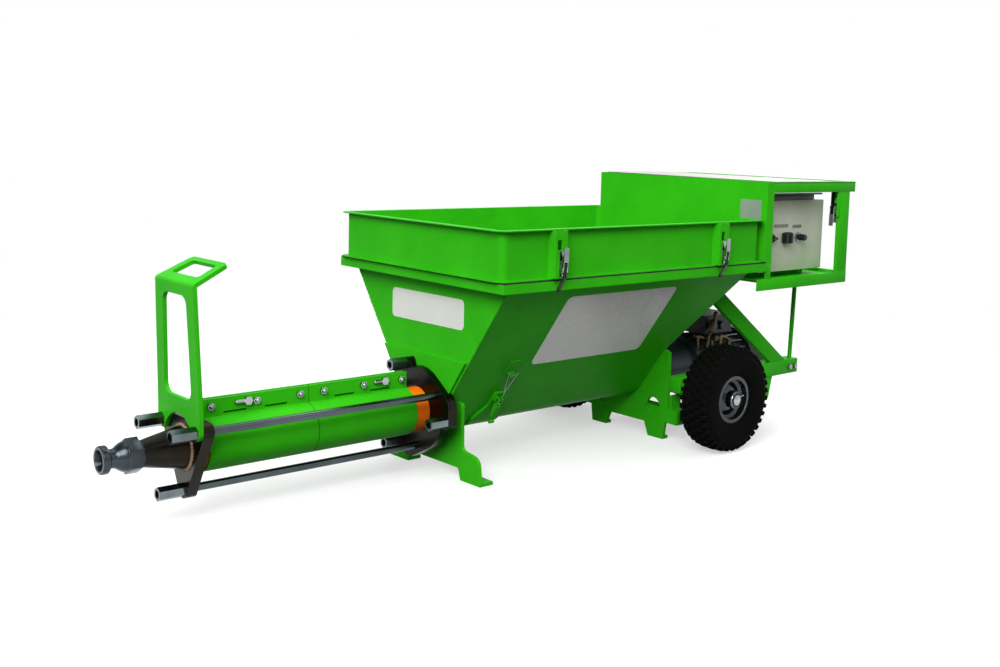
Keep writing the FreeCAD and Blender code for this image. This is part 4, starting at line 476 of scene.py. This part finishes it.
def treadBlock(across, out, tilt, shift, wide):
    # one rubber block: a cube with a narrower top, set on the crown and tilted to the shoulder
    bpy.ops.mesh.primitive_cube_add(size=1, location=(0, 0, 0))
    rubber = bpy.context.object
    rubber.scale = (tyre["long"], wide, tyre["high"])
    settle(rubber)
    # the top face becomes smaller, and it and the sides lose their sharp edges
    bpy.ops.object.mode_set(mode="EDIT")
    pick(rubber, lambda face: face.normal.z > 0.9)
    bpy.ops.transform.resize(value=tyre["top"])
    pick(rubber, lambda edge: min(v.co.z for v in edge.verts) > 0, "EDGE")
    bpy.ops.mesh.bevel(offset=tyre["edge"], segments=1)
    bpy.ops.object.mode_set(mode="OBJECT")
    rubber.rotation_euler = (math.radians(-tilt), 0, 0)
    lift = tyre["high"] / 2 - tyre["sink"]
    angle = math.radians(tilt)
    rubber.location = (0, across + math.sin(angle) * lift, out + math.cos(angle) * lift)
    settle(rubber)
    turn = Matrix.Rotation(shift * 2 * math.pi / tyre["count"], 4, "Y")
    rubber.data.transform(Matrix.Translation(tyre["centre"]) @ turn)
    return rubber


def ringOfCopies(obj, count, centre):
    # copies at even steps round a line along Y
    bpy.ops.object.empty_add(location=(0, 0, 0))
    pivot = bpy.context.object
    step = Matrix.Rotation(2 * math.pi / count, 4, "Y")
    place = Matrix.Translation(Vector(centre))
    pivot.matrix_world = place @ step @ place.inverted()
    bpy.context.view_layer.update()
    array = obj.modifiers.new("ring", "ARRAY")
    array.count = count
    array.use_relative_offset = False
    array.use_object_offset = True
    array.offset_object = pivot
    applyModifiers(obj)
    bpy.data.objects.remove(pivot)


def makeTyres():
    section = tyre["section"]
    closed = section + [(-u, v) for u, v in reversed(section[:-1])]
    pieces = [spinSection(closed, tyre["centre"], (0, 1, 0), steps=tyre["steps"])]
    for across, out, tilt, shift in tyre["rows"]:
        wide = tyre["wide"] if tilt < tyre["shoulder"] else tyre["lugWide"]
        for side in ((1, -1) if across else (1,)):
            rubber = treadBlock(side * across, out, side * tilt, shift, wide)
            ringOfCopies(rubber, tyre["count"], tyre["centre"])
            pieces.append(rubber)
    left = joinPieces(pieces)
    settle(left)
    right = copyPiece(left)
    right.location = (0, tyre["across"], 0)
    for obj, side in ((left, "left"), (right, "right")):
        showPiece(obj, "tread_tyre_" + side, "tyre", "wheel_" + side, smooth=40)
        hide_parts("tyre_" + side)
    print("tyres made")


# bare label plates: four corners in order, thickness, the corner's radius and the finish
labels = {
    # the side label takes the brighter label white, painted light against the shade on the funnel
    # side
    "label_side": {"corners": [(-0.048, -0.2545, 0.4127), (0.302, -0.2545, 0.4127),
                               (0.302, -0.1320, 0.2441), (-0.048, -0.1320, 0.2441)],
                   "thick": 0.0008, "corner": 0.014, "finish": "label_painted_light"},
    "label_front": {"corners": [(-0.2397, 0.129, 0.4035), (-0.2397, -0.134, 0.4045),
                                (-0.2397, -0.134, 0.3385), (-0.2397, 0.129, 0.3365)],
                    "thick": 0.0008, "corner": 0.011, "finish": "label"},
    "rating_plate": {"corners": [(0.5783, -0.2100, 0.6125), (0.5783, -0.2755, 0.6125),
                                 (0.5783, -0.2755, 0.5625), (0.5783, -0.2100, 0.5625)],
                     "thick": 0.0008, "corner": 0.003, "finish": "aluminium"},
}
labelCornerSteps = 6


def makeLabel(name):
    # a plane whose four corners are set, rounded and given a thickness
    values = labels[name]
    clearSelection()
    bpy.ops.mesh.primitive_plane_add(size=1)
    plate = bpy.context.object
    bpy.ops.object.mode_set(mode="EDIT")
    mesh = bmesh.from_edit_mesh(plate.data)
    ring = [loop.vert for loop in mesh.faces[:][0].loops]
    for vertex, corner in zip(ring, values["corners"]):
        vertex.co = Vector(corner)
    mesh.normal_update()
    # the outer side of every label faces -X or -Y
    if mesh.faces[:][0].normal.dot(Vector((-1, -1, 0))) < 0:
        bpy.ops.mesh.select_all(action="SELECT")
        bpy.ops.mesh.flip_normals()
    bmesh.update_edit_mesh(plate.data)
    bpy.ops.mesh.select_all(action="SELECT")
    bpy.ops.mesh.bevel(offset=values["corner"], segments=labelCornerSteps, affect="VERTICES")
    bpy.ops.object.mode_set(mode="OBJECT")
    wall = plate.modifiers.new("wall", "SOLIDIFY")
    wall.thickness = values["thick"]
    wall.offset = 1
    soften(plate, values["thick"] / 3, segments=1)
    showPiece(plate, name, values["finish"], "machine")


def tube(start, end, radius, sides=24, soft=0.0, tip=None):
    # a round or six-sided bar between two points, with softened ends; tip is its end's radius
    start, end = Vector(start), Vector(end)
    along = end - start
    bpy.ops.mesh.primitive_cone_add(vertices=sides, radius1=radius,
                                    radius2=radius if tip is None else tip, depth=along.length,
                                    location=(start + end) / 2,
                                    rotation=along.to_track_quat("Z", "Y").to_euler())
    piece = bpy.context.object
    settle(piece)
    if soft:
        soften(piece, soft, limit=50)
    return piece


def block(low, high, soft=0.0):
    # a box between two corners, with softened edges
    low, high = Vector(low), Vector(high)
    clearSelection()
    bpy.ops.mesh.primitive_cube_add(size=1, location=(low + high) / 2)
    piece = bpy.context.object
    piece.scale = high - low
    settle(piece)
    if soft:
        soften(piece, soft)
    return piece


def flatBar(outline, near, far, soft):
    # a plate from y near to y far, cut to an outline of (x, z) points
    clearSelection()
    bpy.ops.mesh.primitive_circle_add(vertices=len(outline), radius=1, fill_type="NGON")
    piece = bpy.context.object
    bpy.ops.object.mode_set(mode="EDIT")
    mesh = bmesh.from_edit_mesh(piece.data)
    for vertex, (x, z) in zip(mesh.verts, outline):
        vertex.co = Vector((x, near, z))
    bmesh.update_edit_mesh(piece.data)
    bpy.ops.mesh.select_all(action="SELECT")
    bpy.ops.mesh.extrude_region_move(TRANSFORM_OT_translate={"value": (0, far - near, 0)})
    bpy.ops.mesh.select_all(action="SELECT")
    bpy.ops.mesh.normals_make_consistent(inside=False)
    bpy.ops.object.mode_set(mode="OBJECT")
    soften(piece, soft)
    return piece


# cam and groove coupling before the cone: the section is (x, distance from the pump's axis),
# the nut goes from its first x to its second and is as wide across its flats as given
coupling = {"axis": 0.149,
            "section": [(-0.9605, 0.020), (-0.9605, 0.0246), (-0.9592, 0.0262),
                        (-0.9575, 0.0267), (-0.9495, 0.0267), (-0.9478, 0.0262),
                        (-0.9465, 0.0246), (-0.9446, 0.0190), (-0.9430, 0.0180),
                        (-0.9360, 0.0180), (-0.9318, 0.0195), (-0.9282, 0.0222),
                        (-0.9245, 0.0247), (-0.9208, 0.0268), (-0.9172, 0.0282),
                        (-0.9135, 0.0288), (-0.8895, 0.0288), (-0.8895, 0.0242),
                        (-0.8845, 0.0252), (-0.8845, 0.0150), (-0.9465, 0.0150)],
            "steps": 72, "nut": (-0.9135, -0.8895), "across": 0.060, "corner": 0.0012}


def makeCoupling():
    # the turned body and its hexagon, with a corner of the hexagon at the top
    body = spinSection(coupling["section"], (0, 0, coupling["axis"]), (1, 0, 0),
                       steps=coupling["steps"])
    first, last = coupling["nut"]
    nut = tube((first, 0, 0), (last, 0, 0), coupling["across"] / math.sqrt(3), sides=6)
    soften(nut, coupling["corner"])
    corner = max(nut.data.vertices, key=lambda vertex: vertex.co.yz.length).co
    turn = math.pi / 2 - math.atan2(corner.z, corner.y)
    nut.data.transform(Matrix.Translation((0, 0, coupling["axis"])) @
                       Matrix.Rotation(turn, 4, "X"))
    piece = joinPieces([body, nut])
    showPiece(piece, "cam_coupling", "turned", "machine", smooth=30)
    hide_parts("hose_coupling")
    print("coupling made")


# weld beads round the cone's foot, along the top of the funnel's front plate and down its two
# front corners: rows of drops, and pairs of (height, step) that make the rows waver
welds = {"cone": {"centre": (-0.8015, 0, 0.149), "radius": 0.0425, "bead": 0.0046, "count": 46,
                  "stretch": (1.1, 1.0, 1.0), "waves": ((0.012, 2.4), (0.008, 5.3))},
         "plate": {"x": -0.2340, "z": 0.2715, "half": 0.147, "bead": 0.0034, "count": 84,
                   "stretch": (0.9, 1.0, 1.0), "waves": ((0.0006, 1.9),)},
         "corner": {"high": (-0.2385, 0.2745, 0.440), "low": (-0.2385, 0.0520, 0.1335),
                    "bead": 0.0026, "count": 100, "stretch": (1.0, 1.0, 1.0),
                    "waves": ((0.16, 2.1), (0.10, 5.7))}}


def waver(values, index):
    return sum(height * math.sin(index * step) for height, step in values["waves"])


def beadRow(name, finishName, values, places):
    # a drop copied to every place
    clearSelection()
    bpy.ops.mesh.primitive_uv_sphere_add(segments=8, ring_count=6, radius=values["bead"])
    drop = bpy.context.object
    drop.scale = values["stretch"]
    settle(drop)
    drops = []
    for place in places:
        copy = copyPiece(drop)
        copy.data.transform(place)
        drops.append(copy)
    bpy.data.objects.remove(drop)
    showPiece(joinPieces(drops), name, finishName, "machine", smooth=60)


def makeWelds():
    values = welds["cone"]
    centre = Matrix.Translation(values["centre"])
    foot = Matrix.Translation((0, 0, values["radius"]))
    places = []
    for index in range(values["count"]):
        turn = Matrix.Rotation(2 * math.pi * index / values["count"], 4, "X")
        places.append(centre @ turn @ Matrix.Scale(1 + waver(values, index), 4) @ foot)
    beadRow("cone_weld", "weld", values, places)
    values = welds["plate"]
    places = []
    for index in range(values["count"]):
        across = values["half"] * (2 * index / (values["count"] - 1) - 1)
        up = values["z"] + waver(values, index)
        places.append(Matrix.Translation((values["x"], across, up)))
    beadRow("plate_weld", "green", values, places)
    values = welds["corner"]
    places = []
    for index in range(values["count"]):
        part = index / (values["count"] - 1)
        place = Vector(values["low"]).lerp(Vector(values["high"]), part)
        swell = Matrix.Scale(1 + waver(values, index), 4)
        for side in (-1, 1):
            places.append(Matrix.Translation((place.x, side * place.y, place.z)) @ swell)
    beadRow("corner_welds", "green", values, places)
    print("welds made")


# side rail with axle sleeve, flat brace and folded hanger on the left: outlines are (x, z), the
# sleeve is (x, z, radius, hole) and stands proud of the rail's faces. Then the round stay
chassisSide = {"rail": ((0.4185, -0.173, 0.124), (0.9085, -0.133, 0.163)),
               "sleeve": (0.4605, 0.130, 0.018, 0.0126), "sleeveProud": 0.0004,
               "brace": [(0.527, 0.403), (0.505, 0.3695), (0.786, 0.162), (0.8535, 0.162)],
               "braceFrom": -0.173, "braceTo": -0.158,
               "hanger": [(0.7525, 0.126), (0.7565, 0.070), (0.7590, 0.064), (0.7645, 0.062),
                          (0.7785, 0.062), (0.7835, 0.064), (0.7870, 0.070), (0.8005, 0.126)],
               "hangerFrom": -0.170, "hangerTo": -0.167, "hangerSoft": 0.0006, "soft": 0.0012,
               "stay": ((0.8965, 0.162), (0.9063, 0.4060)), "stayOut": 0.153, "stayRadius": 0.006}


def makeChassisSides():
    values = chassisSide
    rail = block(*values["rail"], soft=values["soft"])
    x, z, radius, hole = values["sleeve"]
    outer = values["rail"][0][1] - values["sleeveProud"]
    inner = values["rail"][1][1] + values["sleeveProud"]
    sleeve = spinSection([(outer, hole), (outer, radius), (inner, radius), (inner, hole)],
                         (x, 0, z), (0, 1, 0), steps=48)
    brace = flatBar(values["brace"], values["braceFrom"], values["braceTo"], values["soft"])
    hanger = flatBar(values["hanger"], values["hangerFrom"], values["hangerTo"],
                     values["hangerSoft"])
    left = joinPieces([rail, sleeve, brace, hanger])
    right = copyPiece(left)
    right.scale = (1, -1, 1)
    settle(right)
    bpy.ops.object.mode_set(mode="EDIT")
    bpy.ops.mesh.select_all(action="SELECT")
    bpy.ops.mesh.normals_make_consistent(inside=False)
    bpy.ops.object.mode_set(mode="OBJECT")
    for piece, side in ((left, "left"), (right, "right")):
        showPiece(piece, "side_rail_" + side, "green", "machine", smooth=30)
        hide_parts("chassis_side_" + side)
    (lowX, lowZ), (highX, highZ) = values["stay"]
    stays = [tube((lowX, side * values["stayOut"], lowZ), (highX, side * values["stayOut"], highZ),
                  values["stayRadius"]) for side in (-1, 1)]
    pair = joinPieces(stays)
    showPiece(pair, "round_stays", "green", "machine", smooth=40)
    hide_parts("stay_rods")
    print("chassis sides made")


# hub cap with its cotter pin, and the valve stem of each wheel: pin and valve are (x, z), the
# face and what ends in Out, From or To count from the middle plane
hub = {"x": 0.4605, "z": 0.130, "face": 0.3150, "radius": 0.0185, "high": 0.0082,
       "pin": ((0.4640, 0.1375), (0.4830, 0.1400)), "pinOut": 0.3215, "pinRadius": 0.0014,
       "valve": (0.4895, 0.140), "valveFrom": 0.292, "valveTo": 0.311, "valveRadius": 0.0026,
       "valveFoot": 1.3, "soft": 0.0004}


def makeHubs():
    for side, name in ((-1, "left"), (1, "right")):
        clearSelection()
        bpy.ops.mesh.primitive_uv_sphere_add(segments=40, ring_count=20, radius=hub["radius"])
        cap = bpy.context.object
        cap.scale = (1, hub["high"] / hub["radius"], 1)
        cap.location = (hub["x"], side * hub["face"], hub["z"])
        settle(cap)
        (x1, z1), (x2, z2) = hub["pin"]
        pin = tube((x1, side * hub["pinOut"], z1), (x2, side * hub["pinOut"], z2),
                   hub["pinRadius"], sides=12, soft=hub["soft"])
        showPiece(joinPieces([cap, pin]), "hub_cap_" + name, "chrome", "machine", smooth=40)
        x, z = hub["valve"]
        stem = tube((x, side * hub["valveFrom"], z), (x, side * hub["valveTo"], z),
                    hub["valveRadius"] * hub["valveFoot"], sides=16, soft=hub["soft"],
                    tip=hub["valveRadius"])
        showPiece(stem, "valve_stem_" + name, "black_plastic", "wheel_" + name)
    print("hubs made")


# oil fittings on the drive: start, end, radius, sides and finish of each bar
fittings = [((0.648, -0.060, 0.200), (0.663, -0.060, 0.243), 0.0042, 16, "dull_brass"),
            ((0.663, -0.060, 0.243), (0.6755, -0.060, 0.274), 0.0088, 24, "tan"),
            ((0.6755, -0.060, 0.274), (0.6795, -0.060, 0.284), 0.0040, 16, "dull_brass"),
            ((0.6795, -0.060, 0.284), (0.6835, -0.060, 0.296), 0.0085, 6, "dull_brass"),
            ((0.611, -0.060, 0.200), (0.611, -0.060, 0.238), 0.0040, 16, "dull_brass"),
            ((0.600, -0.060, 0.236), (0.620, -0.060, 0.233), 0.0062, 6, "dull_brass"),
            ((0.620, -0.060, 0.233), (0.634, -0.060, 0.229), 0.0042, 16, "dull_brass"),
            ((0.669, -0.078, 0.227), (0.669, -0.050, 0.227), 0.0078, 20, "dull_brass"),
            ((0.669, -0.060, 0.200), (0.669, -0.060, 0.226), 0.0050, 16, "dull_brass"),
            ((0.690, -0.074, 0.226), (0.690, -0.052, 0.226), 0.0062, 6, "dull_brass"),
            ((0.705, -0.060, 0.200), (0.705, -0.060, 0.232), 0.0066, 6, "dull_brass"),
            ((0.705, -0.060, 0.226), (0.727, -0.060, 0.222), 0.0040, 16, "dull_brass"),
            ((0.743, -0.060, 0.196), (0.743, -0.060, 0.216), 0.0072, 6, "dull_brass"),
            ((0.727, -0.060, 0.222), (0.743, -0.060, 0.213), 0.0040, 16, "dull_brass")]
# softness of a bar's ends, in radii
fittingSoft = 0.12


def makeFittings():
    for finishName in ("dull_brass", "tan"):
        bars = [tube(start, end, radius, sides=sides, soft=radius * fittingSoft)
                for start, end, radius, sides, kind in fittings if kind == finishName]
        showPiece(joinPieces(bars), "oil_fittings_" + finishName, finishName, "machine")
    print("oil fittings made")


# the main switch and the speed control: each starts a gap before the cabinet's door. Lengths
# named out count from the door, taper and depth are parts of a radius
controls = {"face": -0.2400, "height": 0.511, "gap": 0.0003, "switchX": 0.7285,
            "switchHalf": (0.0160, 0.0150), "switchOut": 0.020, "switchSoft": 0.006,
            "gripHalf": 0.0042, "gripHigh": 0.86, "gripProud": 0.006, "gripSunk": 0.002,
            "gripSoft": 0.0018, "dialX": 0.7845, "ringRadius": 0.0128, "ringOut": 0.0045,
            "ringSoft": 0.0008, "dialRadius": 0.0080, "dialOut": 0.027, "dialTaper": 0.9,
            "dialSoft": 0.0012, "ribs": 18, "ribRadius": 0.0007, "ribDepth": 0.97,
            "ribFrom": 0.0065, "ribTo": 0.023}


def makeControls():
    face, height = controls["face"], controls["height"]
    start = face - controls["gap"]
    x = controls["switchX"]
    wide, high = controls["switchHalf"]
    front = face - controls["switchOut"]
    body = block((x - wide, front, height - high), (x + wide, start, height + high),
                 controls["switchSoft"])
    wide, high = controls["gripHalf"], high * controls["gripHigh"]
    grip = block((x - wide, front - controls["gripProud"], height - high),
                 (x + wide, front + controls["gripSunk"], height + high), controls["gripSoft"])
    switch = joinPieces([body, grip])
    showPiece(switch, "main_switch_block", "black_plastic", "main_switch_knob")
    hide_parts("main_switch")
    x = controls["dialX"]
    foot = (x, face - controls["ringOut"], height)
    ring = tube((x, start, height), foot, controls["ringRadius"], sides=40,
                soft=controls["ringSoft"])
    showPiece(ring, "speed_ring", "chrome", "machine")
    dial = tube(foot, (x, face - controls["dialOut"], height), controls["dialRadius"], sides=36,
                soft=controls["dialSoft"], tip=controls["dialRadius"] * controls["dialTaper"])
    ribs = []
    for index in range(controls["ribs"]):
        angle = 2 * math.pi * index / controls["ribs"]
        out = controls["dialRadius"] * controls["ribDepth"]
        ribX, ribZ = x + out * math.cos(angle), height + out * math.sin(angle)
        ribs.append(tube((ribX, face - controls["ribFrom"], ribZ),
                         (ribX, face - controls["ribTo"], ribZ), controls["ribRadius"], sides=6))
    knob = joinPieces([dial] + ribs)
    showPiece(knob, "speed_dial", "black_plastic", "speed_knob_knob")
    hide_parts("speed_knob")
    print("controls made")


# flat pieces of the drive end: low corner, high corner, softness, finish
plates = {"strip_switch": ((0.6815, -0.2406, 0.538), (0.7415, -0.2400, 0.5465), 0.0002, "strip"),
          "strip_dial": ((0.7605, -0.2406, 0.5350), (0.7995, -0.2400, 0.5435), 0.0002, "strip"),
          # the black bar and strip on the cabinet's top are painted shade: dark pieces for the
          # shaded space under the top beam and the cover
          "painted_shade_bar": ((0.6795, -0.2380, 0.6080), (0.8545, -0.2150, 0.6215), 0.0015,
                        "black_plastic"),
          "painted_shade_strip": ((0.6795, -0.2380, 0.6215), (0.8915, -0.2260, 0.6262), 0.0008,
                          "black_plastic")}
panelScrews = {"x": 0.5785, "y": -0.262, "heights": (0.528, 0.513), "radius": 0.0042,
               "out": 0.0026, "taper": 0.8, "soft": 0.0010}


def makePlates():
    for name, (low, high, soft, finishName) in plates.items():
        showPiece(block(low, high, soft), name, finishName, "machine")
    heads = []
    for z in panelScrews["heights"]:
        heads.append(tube((panelScrews["x"], panelScrews["y"], z),
                          (panelScrews["x"] - panelScrews["out"], panelScrews["y"], z),
                          panelScrews["radius"], sides=20, soft=panelScrews["soft"],
                          tip=panelScrews["radius"] * panelScrews["taper"]))
    showPiece(joinPieces(heads), "panel_screws", "chrome", "machine")
    print("plates made")


# sheet frame of the drive end, as boxes between two corners; those of "both" stand on each
# side, and the left one is given
driveFrame = {"both": [((0.6045, -0.294, 0.6555), (0.9605, -0.267, 0.6585)),
                       ((0.6045, -0.294, 0.6315), (0.9605, -0.291, 0.6585)),
                       ((0.8940, -0.2936, 0.3930), (0.9372, -0.2825, 0.6325)),
                       ((0.5515, -0.294, 0.3880), (0.9375, -0.291, 0.4170)),
                       ((0.5815, -0.294, 0.4160), (0.6045, -0.291, 0.4560))],
              "single": [((0.9575, -0.294, 0.6315), (0.9605, 0.294, 0.6585)),
                         ((0.5815, -0.2935, 0.4050), (0.9370, 0.2935, 0.4080)),
                         ((0.9345, -0.294, 0.3880), (0.9375, 0.294, 0.4170)),
                         ((0.8875, -0.294, 0.5650), (0.8945, -0.2680, 0.6325))],
              "soft": 0.0006}
# switch cabinet on its plinth in the tray
cabinetBox = {"case": ((0.6205, -0.2365, 0.4240), (0.8955, 0.1600, 0.6080)),
              "door": ((0.6205, -0.2400, 0.4240), (0.8955, -0.2372, 0.6080)),
              "plinth": ((0.6305, -0.1900, 0.4070), (0.8855, 0.1400, 0.4245)), "soft": 0.0010}


def makeDriveFrame():
    soft = driveFrame["soft"]
    bars = [block(low, high, soft) for low, high in driveFrame["single"]]
    for low, high in driveFrame["both"]:
        bars.append(block(low, high, soft))
        bars.append(block((low[0], -high[1], low[2]), (high[0], -low[1], high[2]), soft))
    piece = joinPieces(bars)
    showPiece(piece, "drive_frame", "green", "machine", smooth=30)
    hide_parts("control_frame")
    soft = cabinetBox["soft"]
    case = joinPieces([block(*cabinetBox[part], soft=soft) for part in ("case", "door")])
    showPiece(case, "cabinet_case", "cream", "machine", smooth=30)
    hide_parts("cabinet", "cabinet_door")
    showPiece(block(*cabinetBox["plinth"], soft=soft), "cabinet_plinth", "green", "machine",
              smooth=30)
    print("drive frame and cabinet made")


bpy.context.scene.view_settings.view_transform = "Standard"
placeCamera()
makeWorld()
makeFloor()
makeLamps()
dressFrame()
makeTyres()
for labelName in labels:
    makeLabel(labelName)
print("labels made")
makeCoupling()
makeWelds()
makeChassisSides()
makeHubs()
makeFittings()
makeDriveFrame()
makeControls()
makePlates()
